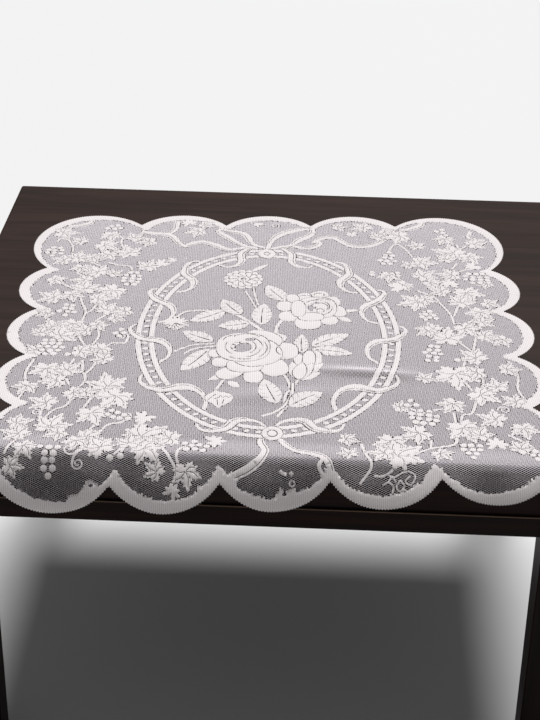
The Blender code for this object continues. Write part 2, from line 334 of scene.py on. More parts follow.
def smooth_path(points, step=2.6):
    """Points at about that step on a smooth curve through the given ones."""
    p = np.asarray(points, float)
    p = np.concatenate(([2 * p[0] - p[1]], p, [2 * p[-1] - p[-2]]))
    path = []
    for a, b, c, d in zip(p, p[1:], p[2:], p[3:]):
        count = max(2, math.ceil(np.linalg.norm((c - b)[:2]) / step))
        for t in np.arange(count) / count:
            bend = (c - a) * t + (2 * a - 5 * b + 4 * c - d) * t**2 + (3 * b - 3 * c + d - a) * t**3
            path.append(b + bend / 2)
    path.append(p[-2])
    return np.array(path)


TINY = 1e-9
SHARPEST_CORNER = 0.6  # limits how far a sharp corner moves when its outline grows


def sideways(path):
    """At each point of a path, the way to its left."""
    along = np.gradient(path, axis=0)
    along /= np.maximum(np.linalg.norm(along, axis=1), TINY)[:, None]
    return np.stack((-along[:, 1], along[:, 0]), 1)


def widened(outline, gap):
    """An outline grown by a gap all round, or by one for each of its points."""
    following = np.roll(outline, -1, axis=0) - outline
    before = outline - np.roll(outline, 1, axis=0)
    normals = []
    for way in (following, before):
        way = way / np.maximum(np.linalg.norm(way, axis=1), TINY)[:, None]
        normals.append(np.stack((way[:, 1], -way[:, 0]), 1))
    middle = normals[0] + normals[1]
    middle /= np.maximum(np.linalg.norm(middle, axis=1), SHARPEST_CORNER)[:, None]
    return outline + middle * np.reshape(gap, (-1, 1)) * (1 if signed_area(outline) > 0 else -1)


def signed_area(outline):
    x, y = outline[:, 0], outline[:, 1]
    return 0.5 * float((x * np.roll(y, -1) - y * np.roll(x, -1)).sum())


STRETCH = 10  # points of a line in each stretch of it
GAP_MEAN = 0.65  # the open line round a shape, as a share of OPEN_LINE
GAP_SWING = 0.35
MERGE_WITHIN = 1e-3


class Drawing:
    """Close-woven work as outlines painted in order, each either woven or left open."""

    def __init__(self):
        self.shapes = []

    def paint(self, outline, woven):
        outline = np.asarray(outline, float)
        if signed_area(outline) < 0:
            outline = outline[::-1]
        self.shapes.append((outline, woven))

    def weave(self, outline, edged=False):
        """Woven work, with an open line of uneven width round it where it lies over other work."""
        if edged:
            outline = np.asarray(outline, float)
            around = np.linspace(0, 4 * math.pi, len(outline), endpoint=False)
            self.paint(widened(outline, OPEN_LINE * (GAP_MEAN + GAP_SWING * np.sin(around))), False)
        self.paint(outline, True)

    def leave_open(self, outline):
        self.paint(outline, False)

    def stroke(self, path, widths, woven=True, edged=False):
        """A line with a width at each of its points, painted in short stretches."""
        path = np.asarray(path, float)
        widths = np.broadcast_to(np.asarray(widths, float), len(path))
        left = sideways(path)
        coats = [(OPEN_LINE, False), (0.0, woven)] if edged else [(0.0, woven)]
        for grow, coat in coats:
            half = (widths / 2 + grow)[:, None]
            for first in range(0, len(path) - 1, STRETCH):
                part = slice(first, min(first + STRETCH, len(path) - 1) + 1)
                there = path[part] + left[part] * half[part]
                back = path[part] - left[part] * half[part]
                self.paint(np.concatenate((there, back[::-1])), coat)

    def filled(self, loose_points):
        """The woven work's points, its triangles, and which points lie on an edge of it."""
        points = [Vector(p) for outline, _ in self.shapes for p in outline]
        faces, start = [], 0
        for outline, _ in self.shapes:
            faces.append(list(range(start, start + len(outline))))
            start += len(outline)
        points += [Vector(p) for p in loose_points]
        corners, _, fans, _, _, shapes_over = delaunay_2d_cdt(points, [], faces, 0, MERGE_WITHIN, True)
        woven = [shape[1] for shape in self.shapes]
        triangles = np.array([fan for fan, over in zip(fans, shapes_over) if over and woven[max(over)]])
        places = np.array([tuple(corner) for corner in corners])
        used, triangles = np.unique(triangles, return_inverse=True)
        triangles = triangles.reshape(-1, 3)
        sides = np.sort(np.concatenate((triangles[:, :2], triangles[:, 1:], triangles[:, ::2])), axis=1)
        sides, uses = np.unique(sides, axis=0, return_counts=True)
        on_edge = np.zeros(len(used), bool)
        on_edge[sides[uses == 1].ravel()] = True
        return places[used], triangles, on_edge


# The lace's motifs


def between(base, tip):
    """The length from base to tip, and its turn in degrees."""
    along = np.array(tip, float) - base
    return float(np.linalg.norm(along)), math.degrees(math.atan2(along[1], along[0]))


HATCH_WIDTH = 0.4


def hatch(drawing, inner, outer):
    """Fine open lines, each from an inner place to an outer one."""
    for line in zip(inner, outer):
        drawing.stroke(line, HATCH_WIDTH, woven=False)


LEAF_TEETH = 11
LEAF_RIM = (0.96, 1.05)  # between its teeth and at them, as shares of the leaf's half width
LEAF_BEND = 0.06
MIDRIB = (0.10, 0.78)  # from, to, as shares of the leaf's length
MIDRIB_WIDTHS = (1.4, 0.6)
MIDRIB_POINTS = 9
SIDE_VEINS = 4  # on each side
SIDE_VEIN_ENDS = (0.30, 0.80)  # the first's and the last's, as shares of the leaf's length
SIDE_VEIN_SLANT = 0.06
SIDE_VEIN_REACH = (0.50, 0.98)  # from, to, as shares of the leaf's half width


def leaf(drawing, base, tip, width, veined=True):
    """A pointed leaf with a toothed rim. Its veins are a curved open line and fine ones towards the rim."""
    length, turn = between(base, tip)

    def on_leaf(t, across):
        """Places along the leaf and across it, as shares of its length and of its half width there."""
        half = width / 2 * np.sin(math.pi * t**0.85) ** 0.8
        bend = width * LEAF_BEND * np.sin(math.pi * t)
        return placed(np.stack((t * length, across * half + bend), 1), base, turn)

    t = np.linspace(0, 1, 2 * LEAF_TEETH + 1)
    between_teeth, at_teeth = LEAF_RIM
    rim = np.where(np.arange(len(t)) % 2, at_teeth, between_teeth) if veined else np.ones(len(t))
    drawing.weave(np.concatenate((on_leaf(t, rim), on_leaf(t, -rim)[-2:0:-1])), edged=True)
    if veined:
        t = np.linspace(*MIDRIB, MIDRIB_POINTS)
        drawing.stroke(on_leaf(t, 0 * t), np.linspace(*MIDRIB_WIDTHS, MIDRIB_POINTS), woven=False)
        t = np.linspace(*SIDE_VEIN_ENDS, SIDE_VEINS)
        near, far = SIDE_VEIN_REACH
        for side in (-1, 1):
            starts = on_leaf(t - SIDE_VEIN_SLANT, side * near + 0 * t)
            hatch(drawing, starts, on_leaf(t, side * far + 0 * t))


SPIKE = np.array(((0, -0.1), (0.45, -0.5), (0.8, -0.36), (1, 0), (0.8, 0.36), (0.45, 0.5), (0, 0.1)))
SPIKE_SWING = 0.10  # how far the spikes' reach varies, as a share of it


def spikes(drawing, place, count, reach, width, turn=0.0, sweep=360.0, edged=False):
    """Narrow pointed petals that fan out from one place."""
    for k in range(count):
        angle = turn + sweep * (k / count - 0.5 + 0.5 / count)
        uneven = reach * (1 + SPIKE_SWING * math.sin(2.4 * k))
        drawing.weave(placed(SPIKE * (uneven, width), place, angle), edged=edged)


ARC_POINTS = 20


def open_arc(drawing, centre, half_width, half_height, first, last):
    """A thin open line along part of an oval, from one angle to another, narrow at both ends."""
    angles = np.radians(np.linspace(first, last, ARC_POINTS))
    path = np.stack((half_width * np.cos(angles), half_height * np.sin(angles)), 1) + centre
    taper = 0.35 + 0.65 * np.sin(np.linspace(0.2, math.pi - 0.2, ARC_POINTS))
    drawing.stroke(path, OPEN_LINE * taper, woven=False)


def rose(drawing, middle, petals, curls, openings, dots):
    """A full rose: petals from the outermost in, open lines that roll its heart, and its open middle."""
    for x, y, width, height, turn in petals:
        drawing.weave(placed(blob(width, height), np.add(middle, (x, y)), turn), edged=True)
    for x, y, half_width, half_height, first, last in curls:
        open_arc(drawing, np.add(middle, (x, y)), half_width, half_height, first, last)
    for x, y, half_width, half_height in openings:
        drawing.leave_open(oval(half_width, half_height, 26) + np.add(middle, (x, y)))
    for x, y, half_width, half_height in dots:
        drawing.weave(oval(half_width, half_height, 12) + np.add(middle, (x, y)))


MAIN_ROSE = (-20, -51)
MAIN_PETALS = (
    # x, y, width, height, turn in degrees, from the outermost in
    (-44, 4, 13, 17, 0),
    (28, 38, 18, 20, -20),
    (-37, -15, 19, 19, 0),
    (-27, -37, 30, 23, 30),
    (-1, -44, 21, 25, 0),
    (22, -25, 31, 36, 15),
    (34, 10, 31, 35, 0),
    (8, 32, 46, 44, -30),
    (-10, -21, 40, 28, 0),
    (2, 6, 58, 56, 20),
    (-12, 18, 60, 61, 0),
)
MAIN_CURLS = (
    # x, y, half width, half height, from, to, in degrees
    (-14, 19, 16.5, 17, -60, 50),
    (-13, 18, 21, 22, -80, -10),
    (-12, 18, 22, 24, 5, 62),
    (-11, 17, 26, 26, -50, 28),
    (-12, 19, 27, 27, -125, -70),
    (-14, 19, 18, 19, 150, 235),
    (-8, 38, 15, 9, 15, 165),
    (-20, 30, 15, 14, 80, 170),
    (36, 12, 11, 12, 120, 250),
)
MAIN_OPENINGS = (
    # x, y, half width, half height
    (-14, 18, 12, 11),
    (-4, 34, 6, 3.2),
)
MAIN_DOTS = ((-19.5, 25, 3.6, 2.2), (-23.5, 19, 2.2, 4.0), (-12, 27.5, 3.4, 1.8), (-22, 13, 2.0, 2.4))

SECOND_ROSE = (45.6, 52)
SECOND_PETALS = (
    (13, 37, 22, 18, 15),
    (-5, 31, 17, 20, 0),
    (-19, 28, 15, 19, 10),
    (26, 20, 22, 26, 0),
    (34, -3, 17, 25, 10),
    (-29, 9, 19, 23, 0),
    (-25, -15, 23, 23, 0),
    (22, -24, 20, 20, 0),
    (-3, -30, 30, 30, 0),
    (9, 6, 46, 50, 0),
    (1, -16, 30, 19, 0),
    (-13, 3, 17, 38, 0),
)
SECOND_CURLS = (
    (12.5, -1.3, 4.5, 4.5, -60, 240),
    (13, 7, 9, 10, -40, 100),
    (9, 9, 15, 15, -30, 50),
    (9, 11, 14, 13, 60, 150),
    (7, 7, 20, 20, -65, 10),
    (16, 21, 10, 6, 10, 150),
    (13, 37, 6, 4, -60, 200),
    (-4, 29, 11, 6, 10, 130),
)
SECOND_OPENINGS = (
    (3, 6, 5, 9),
    (9, 17, 4, 2.4),
)
SECOND_DOTS = ((6, 10, 2.4, 3.0), (6, 0, 2.2, 2.6), (1, 13, 2.2, 2.0))


ASTER_RINGS = (
    # petals, how far out they lie and how wide they are, as shares of the flower's size
    (15, 0.70, 0.40),
    (11, 0.46, 0.36),
)
ASTER_PETAL = 0.62  # its length, as a share of the flower's size


def aster(drawing, place, size):
    """A full flower of two rings of blunt petals, with a small open ring in its middle."""
    for count, reach, width in ASTER_RINGS:
        for k in range(count):
            angle = 360 * k / count
            middle = place + direction(angle) * reach * size
            petal = placed(blob(ASTER_PETAL * size, width * size, 14), middle, angle)
            drawing.weave(petal, edged=True)
    drawing.weave(oval(0.30 * size, 0.30 * size, 20) + place, edged=True)
    drawing.leave_open(oval(0.15 * size, 0.15 * size, 14) + place)
    drawing.weave(oval(0.08 * size, 0.08 * size, 10) + place)


THISTLE_LINES = (-40, 0, 40)  # the turns of the open lines in its heart
THISTLE_LINE_ENDS = (0.05, 0.45)  # as shares of its size
THISTLE_LINE = 1.1


def thistle(drawing, place, size, turn):
    """A spiky flower head that hangs from its stem."""
    spikes(drawing, place, 15, size, size * 0.30)
    spikes(drawing, place, 7, size * 0.95, size * 0.26, turn=turn, sweep=150, edged=True)
    drawing.weave(oval(0.5 * size, 0.5 * size, 18) + place)
    for aside in THISTLE_LINES:
        line = [place + direction(turn + aside) * size * reach for reach in THISTLE_LINE_ENDS]
        drawing.stroke(line, THISTLE_LINE, woven=False)


BUD_OUTLINE = (
    # x, y, as shares of the bud's size
    (-0.12, 0.44), (-0.20, 0.26), (-0.38, 0.12), (-0.42, -0.06), (-0.36, -0.22), (-0.24, -0.28),
    (-0.14, -0.42), (-0.02, -0.56), (0.10, -0.44), (0.26, -0.32), (0.38, -0.16), (0.40, 0.04),
    (0.26, 0.22), (0.06, 0.28), (-0.02, 0.32), (-0.12, 0.44),
)
BUD_LINES = (
    ((-0.34, -0.16), (-0.22, 0.02), (-0.10, 0.16)),
    ((-0.14, -0.08), (-0.02, -0.02), (0.04, 0.09), (0.12, -0.03), (0.20, 0.07), (0.28, -0.02),
     (0.36, 0.06)),
    ((-0.06, -0.12), (-0.04, -0.40)),
    ((0.14, -0.12), (0.09, -0.36)),
)


def round_bud(drawing, place, size):
    """A closed bud that hangs with its tip down."""
    drawing.weave(placed(smooth_path(BUD_OUTLINE, 0.07), place, 0, size), edged=True)
    for line in BUD_LINES:
        drawing.stroke(placed(line, place, 0, size), 0.8, woven=False)


BUD_PETALS = (
    # x, y, width, height, turn in degrees, from the back to the front
    (31, -62, 13, 28, 10),
    (49, -57, 13, 33, -2),
    (41, -59, 14, 36, -4),
)
BUD_CUP = (
    # tip x and y, width, from the back to the front
    (57, -67, 15),
    (22, -64, 13),
    (53, -87, 13),
    (45, -68, 15),
    (34, -66, 15),
)
BUD_BASE = (28, -101)


def half_open_bud(drawing):
    """A rosebud whose petals show over the cup of its sepals."""
    for x, y, width, height, turn in BUD_PETALS:
        drawing.weave(placed(blob(width, height), (x, y), turn), edged=True)
    for x, y, width in BUD_CUP:
        leaf(drawing, BUD_BASE, (x, y), width, veined=False)


LOBES = (
    # turn in degrees, reach and width, as shares of the middle lobe's reach
    (-136, 0.64, 0.46),
    (136, 0.64, 0.46),
    (-104, 0.70, 0.42),
    (104, 0.70, 0.42),
    (-58, 0.96, 0.52),
    (58, 0.96, 0.52),
    (0, 1.08, 0.56),
)
LOBE_SIDE = (
    # along and across one side of a lobe, as shares of its reach and width
    (0, 0.12), (0.26, 0.34), (0.32, 0.26), (0.50, 0.60), (0.54, 0.34), (0.74, 0.46), (0.76, 0.20),
    (0.94, 0.16), (1.02, 0.0),
)
LOBE_VEIN = (0.04, 0.40, 0.78)  # its places, as shares of the lobe's reach
VEIN_WIDTH = 0.55
LEAF_GAP = 0.45


def grape_leaf(drawing, middle, across, turn):
    """A leaf of seven lobes with finger-like teeth. The larger five have a curved open vein each."""
    reach = across * 0.66
    joint = np.array(middle, float) - direction(turn) * across * 0.10
    side = np.array(LOBE_SIDE)
    shape = np.concatenate((side, (side * (1, -1))[-2::-1]))
    lobes = [placed(shape * (long, wide), joint, turn + angle, reach) for angle, long, wide in LOBES]
    for outline in lobes:
        drawing.leave_open(widened(outline, LEAF_GAP))
    for outline in lobes:
        drawing.weave(outline)
    for angle, long, _ in LOBES[2:]:
        bend = 0.10 * reach * direction(turn + angle + 90)
        start, middle, end = [joint + direction(turn + angle) * share * long * reach for share in LOBE_VEIN]
        drawing.stroke(smooth_path((start, middle + bend, end), 4), VEIN_WIDTH, woven=False)


def small_leaf(drawing, middle, across, turn):
    """A leaf of seven short points, too small for veins."""
    spikes(drawing, np.array(middle, float), 7, across * 0.62, across * 0.30, turn, sweep=310)


TENDRIL_TURNS = 1.45
TENDRIL_SHRINK = 0.82
TENDRIL_WIDTHS = (2.2, 1.5)


def tendril(drawing, place, size, turn, side):
    """A thin shoot that ends in a curl."""
    angles = np.linspace(0, TENDRIL_TURNS * 2 * math.pi, 34)
    radius = size * (1 - TENDRIL_SHRINK * angles / angles[-1])
    curl = np.stack((np.sin(angles) * radius, side * (size - np.cos(angles) * radius)), 1)
    drawing.stroke(placed(curl, place, turn), np.linspace(*TENDRIL_WIDTHS, len(curl)))


GRAPE_SPACING = 8.6
GRAPE_SIZES = (7.0, 8.4)
GRAPE_SHIFT = 0.9
GRAPE_BUMPS = 8
ROW_SHARE = 0.88  # from row to row, as a share of the spacing within one


def bunch(drawing, top, turn, counts, shuffle):
    """A loose bunch that hangs from its top: a count of grapes for each row, each with a bumpy rim."""
    for row, count in enumerate(counts):
        for k in range(count):
            out = ((row + 0.5) * ROW_SHARE, k - (count - 1) / 2)
            place = placed([out], top, turn, GRAPE_SPACING)[0]
            place = place + shuffle.uniform(-GRAPE_SHIFT, GRAPE_SHIFT, 2)
            size = shuffle.uniform(*GRAPE_SIZES)
            rim = oval(size / 2, size / 2, 2 * GRAPE_BUMPS)
            rim[::2] *= 0.88
            drawing.weave(rim + place, edged=True)


BROAD_RIBBON = 6.2
INNER_LINE = 0.65
INNER_LINE_PLACE = 0.22  # from the ribbon's middle, as a share of its width
SHORTEST_LINE = 4  # points


def ribbon(drawing, points, edged=True):
    """A ribbon through (x, y, width) points. A narrow open line runs inside one edge where it's broad."""
    path = smooth_path(points)
    widths = path[:, 2]
    drawing.stroke(path[:, :2], widths, edged=edged)
    inner = path[:, :2] + sideways(path[:, :2]) * (widths * INNER_LINE_PLACE)[:, None]
    run = []
    for place, broad in zip(inner, list(widths[:-1] > BROAD_RIBBON) + [False]):
        if broad:
            run.append(place)
        else:
            if len(run) >= SHORTEST_LINE:
                drawing.stroke(run, INNER_LINE, woven=False)
            run = []


ROSETTE_SIZE = 10.8
ROSETTE_HEIGHT = 1.15  # as a share of its width
ROSETTE_RING = 0.045
ROSETTES = (
    # x, y, the ring's place as a share of the way out
    (-3.0, 195.0, 0.33),
    (-1.5, -204.0, 0.47),
)


def rosette(drawing, place, ring):
    """A woven oval with an open ring in it."""
    around = oval(ROSETTE_SIZE, ROSETTE_SIZE * ROSETTE_HEIGHT, 26)
    drawing.weave(around + place, edged=True)
    drawing.leave_open(around * (ring + ROSETTE_RING) + place)
    drawing.weave(around * (ring - ROSETTE_RING) + place)


def on_wreath(share, outside=0.0):
    """A place that share of the way down the wreath's left half, and that far outside its middle line."""
    middle = WREATH_RAIL + WREATH_CHANNEL / 2
    angle = math.radians(90 + 180 * share)
    across = WREATH_HALF_WIDTH - middle + outside
    along = WREATH_HALF_HEIGHT - middle + outside
    return np.array((across * math.cos(angle), along * math.sin(angle) - WREATH_DROP))


WINDING = (
    # where the thin ribbon crosses over the wreath, how far inside its next loop reaches,
    # the loop's breadth, and the loop's share of the way round
    (0.067, 24, 1.1, 0.088),
    (0.244, 24, 1.3, 0.084),
    (0.370, 26, 1.2, 0.092),
    (0.515, 27, 1.3, 0.098),
    (0.697, 31, 1.6, 0.124),
    (0.892, 20, 1.3, 0.100),
)
OUTER_LOOP = (
    # back from the crossing as a share of the way from the last loop,
    # outside the wreath's middle line, width
    (0.90, 6, 3.0),
    (0.76, 15, 3.2),
    (0.52, 18, 4.5),
    (0.24, 13, 7.5),
    (-0.06, 3, 9.5),
)
INNER_LOOP = (
    # on from the crossing as a share of the loop,
    # inside the wreath's middle line as a share of its reach, width
    (0.13, 0.56, 8.5),
    (0.30, 0.90, 6.5),
    (0.56, 1.00, 4.0),
    (0.82, 0.84, 3.0),
    (0.96, 0.44, 3.0),
)
CROSSING_PART = slice(3, 6)
LONGEST_LEAD = 0.07


def winding_ribbon(drawing, mirror, over):
    """The thin ribbon wound round one half of the wreath: all of it, or the parts that cross over."""
    turns, loop_end = [], 0.0
    for share, reach, breadth, span in WINDING:
        lead = min(LONGEST_LEAD, share - loop_end)
        rows = [(share - lead * back, out, width) for back, out, width in OUTER_LOOP]
        rows += [(share + span * on, -reach * inside, width * breadth) for on, inside, width in INNER_LOOP]
        points = [(*on_wreath(at, out), width) for at, out, width in rows]
        points = mirrored(points) if mirror else points
        turns.append([(x + WREATH_MIDDLE, y, width) for x, y, width in points])
        loop_end = share + span
    if over:
        for points in turns:
            ribbon(drawing, points[CROSSING_PART])
    else:
        ribbon(drawing, [point for points in turns for point in points], edged=False)


WREATH_POINTS = 180
DOT_SPACING = 12.4
DOT_LENGTH = 6.8
DOT_WIDTH = 4.9
DOT_TURN = 15


def wreath(drawing):
    """Two rails with a channel of open net between them, and a row of dots along the channel."""
    ring = np.array([on_wreath(share) for share in np.linspace(0, 2, WREATH_POINTS + 1)[:-1]])
    ring = np.concatenate((ring, ring[:2]))
    ring += (WREATH_MIDDLE, 0)
    out = -sideways(ring)
    drawing.stroke(ring, WREATH_CHANNEL + 2 * WREATH_RAIL + 2 * OPEN_LINE, woven=False)
    for side in (-1, 1):
        drawing.stroke(ring + out * side * (WREATH_CHANNEL + WREATH_RAIL) / 2, WREATH_RAIL)
    lengths = np.concatenate(([0], np.cumsum(np.linalg.norm(np.diff(ring[:-1], axis=0), axis=1))))
    count = round(lengths[-1] / DOT_SPACING)
    for at in (np.arange(count) + 0.5) * lengths[-1] / count:
        place = np.array([np.interp(at, lengths, ring[:-1, axis]) for axis in (0, 1)])
        turn = math.copysign(DOT_TURN, WREATH_MIDDLE - place[0])
        drawing.weave(placed(blob(DOT_LENGTH, DOT_WIDTH, 10), place, turn))


BOW = (
    # x, y, width along each strand: the left loop's two, then the right loop's
    ((-2, 208, 5), (-20, 221, 6), (-25, 232, 9), (-29, 245, 10), (-38, 254, 9), (-51, 258, 7),
     (-60, 264, 6)),
    ((-14, 208, 4), (-28, 215, 5), (-42, 226, 8), (-52, 239, 10), (-62, 251, 9), (-65, 259, 6),
     (-60, 264, 5)),
    ((-2, 208, 5), (3, 230, 7), (10, 243, 10), (21, 254, 11), (33, 261, 11), (45, 265, 8),
     (56, 265, 6)),
    ((2, 208, 4), (15, 214, 5), (28, 219, 6), (38, 233, 10), (49, 243, 10), (56, 253, 9),
     (57, 264, 6)),
)
LEFT_STREAMERS = (
    # x, y, width along each free ribbon
    ((-14, 210, 5), (-27, 213, 5), (-50, 205, 8), (-66, 216, 10), (-83, 226, 9), (-98, 221, 9),
     (-108, 212, 5)),
    ((-107, 214, 5), (-115, 223, 8), (-123, 240, 9), (-133, 247, 9), (-148, 249, 9), (-164, 254, 9)),
    ((-130, 247, 6), (-121, 262, 7), (-119, 286, 8)),
    ((-229, 291, 5), (-233, 278, 9), (-246, 270, 9), (-260, 268, 7)),
)
RIGHT_STREAMERS = (
    ((14, 210, 5), (30, 215, 5), (50, 211, 8), (64, 222, 8), (62, 231, 5)),
    ((56, 226, 5), (66, 238, 8), (82, 242, 9), (92, 232, 9), (103, 219, 8), (119, 216, 8),
     (136, 224, 9), (150, 236, 5)),
    ((203, 291, 5), (199, 278, 9), (186, 268, 9), (170, 262, 7)),
    ((262, 262, 5), (258, 246, 7), (264, 238, 6), (278, 236, 5)),
)
TAILS = (
    ((-13, -211, 5), (-13, -222, 8), (-9, -236, 8), (-14, -250, 9), (-26, -260, 10), (-38, -266, 9),
     (-46, -271, 6)),
    ((5, -210, 4), (10, -222, 7), (22, -236, 7), (42, -243, 8), (52, -252, 8), (57, -266, 6)),
    ((50, -249, 4), (44, -258, 4), (48, -268, 4)),
)
LOOSE_ENDS = (
    # x, y along short thin strokes low on the cloth's front, with their width last
    ((-62, -262), (-56, -270), (-48, -268), (-42, -274), (-36, -270), 1.8),
    ((5, -262), (8, -265), (12, -266), 3.6),
    ((15, -264), (18, -267), 4.0),
    ((17, -272), (20, -275), (17, -278), (14, -275), (17, -272), 1.8),
    ((98, -269), (105, -270), (111, -268), (118, -263), (125, -257), 2.4),
    ((111, -268), (118, -271), (126, -267), (134, -266), (139, -271), (134, -279), (129, -275),
     (134, -270), 1.8),
    ((124, -274), (128, -280), (123, -285), (120, -280), (124, -274), 1.9),
    ((106, -279), (112, -276), (117, -280), (116, -287), 2.2),
    ((112, -276), (116, -271), (120, -276), 1.9),
    ((127, -283), (131, -286), (128, -290), 2.0),
)

STEMS = (
    # x, y along each stem of the rose spray, with its width last
    ((-30, 98), (-24, 80), (-17, 56), 2.3),
    ((-20, 106), (-18, 84), (-14, 62), 2.3),
    ((-109, 34), (-102, 44), (-90, 49), (-72, 50), 3.2),
    ((-55, 49), (-38, 38), (-24, 22), (-9, 2), 4.6),
    ((13, 28), (7, 14), (5, -3), 4.2),
    ((-64, -26), (-88, -29), (-109, -43), 2.8),
    ((-62, -31), (-86, -37), (-98, -48), 2.8),
    ((11, -86), (18, -110), (17, -144), (5, -174), 3.2),
    ((28, -100), (21, -120), (14, -132), (10, -160), (4, -173), 3.2),
    ((22, -108), (20, -132), (12, -152), (2, -164), (-12, -172), 3.2),
    ((-52, -98), (-56, -110), (-61, -122), 3.4),
)
LEAVES = (
    # base x and y, tip x and y, width
    (-53, 50, -94, 24, 23),
    (-35, 41, -57, 76, 23),
    (-11, 17, -7, 67, 24),
    (-25, 21, -61, 13, 22),
    (18, 74, -4, 112, 24),
    (-66, -20, -101, 2, 22),
    (-70, -38, -100, -84, 25),
    (45, -30, 89, -3, 23),
    (45, -37, 91, -47, 20),
    (34, -45, 35, -4, 17),
    (4, -148, -9, -100, 24),
    (17, -153, 53, -127, 25),
)
SMALL_LEAVES = (
    (83, 48, 105, 53, 7),
    (76, 38, 94, 24, 9),
    (-56, -93, -70, -103, 8),
    (-48, -105, -36, -118, 10),
    (-23, 146, -1, 166, 7),
)


def rose_spray(drawing):
    """The spray of roses inside the wreath."""
    for *stem, width in STEMS:
        drawing.stroke(smooth_path(stem, 4), width, edged=True)
    for x, y, tip_x, tip_y, width in LEAVES:
        leaf(drawing, (x, y), (tip_x, tip_y), width)
    for x, y, tip_x, tip_y, width in SMALL_LEAVES:
        leaf(drawing, (x, y), (tip_x, tip_y), width, veined=False)
    aster(drawing, np.array((-32.0, 127.0)), 24)
    thistle(drawing, np.array((-110.0, 20.0)), 16, -80)
    half_open_bud(drawing)
    round_bud(drawing, (-57, -137), 36)
    rose(drawing, SECOND_ROSE, SECOND_PETALS, SECOND_CURLS, SECOND_OPENINGS, SECOND_DOTS)
    rose(drawing, MAIN_ROSE, MAIN_PETALS, MAIN_CURLS, MAIN_OPENINGS, MAIN_DOTS)


LEFT_STEMS = (
    # x, y along each stem of the vine at the left
    ((-251, 113), (-232, 97), (-226, 82), (-222, 66), (-216, 46), (-218, 23)),
    ((-204, 66), (-209, 49), (-216, 41)),
    ((-190, 39), (-200, 25), (-206, 10)),
    ((-197, 4), (-196, -14), (-204, -36)),
    ((-218, -11), (-214, -22), (-207, -36)),
    ((-162, -10), (-165, -25), (-179, -26), (-187, -36)),
    ((-218, -60), (-223, -74), (-232, -84)),
    ((-209, -62), (-205, -91), (-196, -76), (-194, -62)),
    ((-204, -90), (-202, -105), (-207, -118)),
    ((-223, -100), (-218, -114)),
    ((-213, -140), (-218, -155), (-229, -162), (-237, -177)),
    ((-190, -132), (-198, -157), (-200, -164)),
    ((-242, -163), (-242, -181)),
    ((-186, -179), (-184, -191), (-188, -198), (-178, -208), (-182, -222)),
    ((-150, -172), (-156, -184), (-171, -190), (-178, -206)),
    ((-149, -220), (-153, -234), (-164, -247)),
    ((-151, -230), (-152, -238), (-154, -244)),
    ((-183, -222), (-188, -232), (-199, -242), (-202, -252)),
    ((-116, -228), (-105, -246), (-98, -262), (-104, -278)),
    ((-88, -230), (-96, -236), (-97, -250), (-90, -262)),
    ((-269, 224), (-266, 234), (-256, 230), (-248, 212), (-247, 196)),
    ((-186, 240), (-188, 224), (-184, 206)),
    ((-200, 168), (-186, 162), (-172, 158), (-168, 146)),
    ((-232, 176), (-214, 164), (-204, 150), (-214, 132)),
    ((-246, -205), (-262, -222), (-270, -240)),
    ((-262, -60), (-268, -90), (-264, -120), (-272, -150)),
)
RIGHT_STEMS = (
    ((152, 204), (156, 217), (164, 223), (173, 209), (180, 188)),
    ((239, 224), (241, 208), (233, 196)),
    ((251, 220), (242, 209)),
    ((262, 159), (247, 157), (235, 151), (225, 143), (208, 131)),
    ((234, 172), (225, 156)),
    ((177, 101), (195, 84), (201, 70), (210, 44), (212, 20)),
    ((222, 64), (214, 39)),
    ((237, 33), (226, 20)),
    ((210, -16), (225, -41)),
    ((234, -6), (226, -40)),
    ((214, -62), (208, -82)),
    ((225, -70), (229, -98), (224, -122)),
    ((208, -102), (214, -122)),
    ((216, -142), (208, -165), (198, -169), (194, -186)),
    ((189, -164), (189, -186)),
    ((144, -156), (156, -165), (171, -159), (184, -157)),
    ((187, -210), (182, -223), (156, -231), (136, -246)),
    ((160, -214), (158, -230)),
    ((88, -222), (92, -244), (96, -260), (84, -277)),
    ((262, -60), (268, -90), (264, -120), (272, -150)),
    ((240, -205), (258, -222), (268, -240)),
)

LEFT_LEAVES = (
    # x, y, size across, from the back to the front
    (-262, 250, 32), (-241, 227, 24), (-202, 242, 28), (-171, 238, 26), (-154, 226, 26),
    (-206, 214, 32), (-177, 197, 34), (-203, 188, 28), (-236, 182, 32), (-257, 174, 26),
    (-219, 180, 24), (-150, 160, 30), (-133, 168, 18), (-122, 176, 12), (-212, 145, 34),
    (-232, 152, 26), (-190, 140, 22), (-226, 122, 28), (-259, 122, 26), (-222, 103, 34), (-190, 94, 38),
    (-202, 76, 30), (-259, 80, 34), (-236, 84, 28), (-191, 51, 30), (-172, 46, 26), (-179, 30, 22),
    (-251, 12, 30), (-228, 14, 30), (-237, -8, 38), (-214, 1, 28), (-198, 12, 24), (-262, -2, 24),
    (-193, -41, 32), (-211, -44, 28), (-187, -59, 26), (-246, -84, 36), (-222, -82, 30),
    (-235, -106, 30), (-210, -130, 28), (-178, -113, 42), (-168, -139, 42), (-197, -128, 22),
    (-241, -148, 32), (-188, -171, 36), (-228, -190, 38), (-221, -206, 26), (-188, -214, 34),
    (-176, -230, 34), (-200, -222, 26), (-132, -208, 46), (-108, -214, 32), (-128, -236, 34),
    (-146, -222, 28), (-134, -175, 20), (-61, -219, 20), (-119, -260, 22), (-88, -264, 28),
    (-102, -281, 15), (-93, 256, 28), (-82, 275, 22), (-104, 281, 18), (-264, -118, 28),
    (-262, -186, 28), (-262, -206, 30), (-250, -232, 26), (-262, -40, 26), (-262, 40, 22),
    (-262, -252, 22), (-13, 277, 12),
)
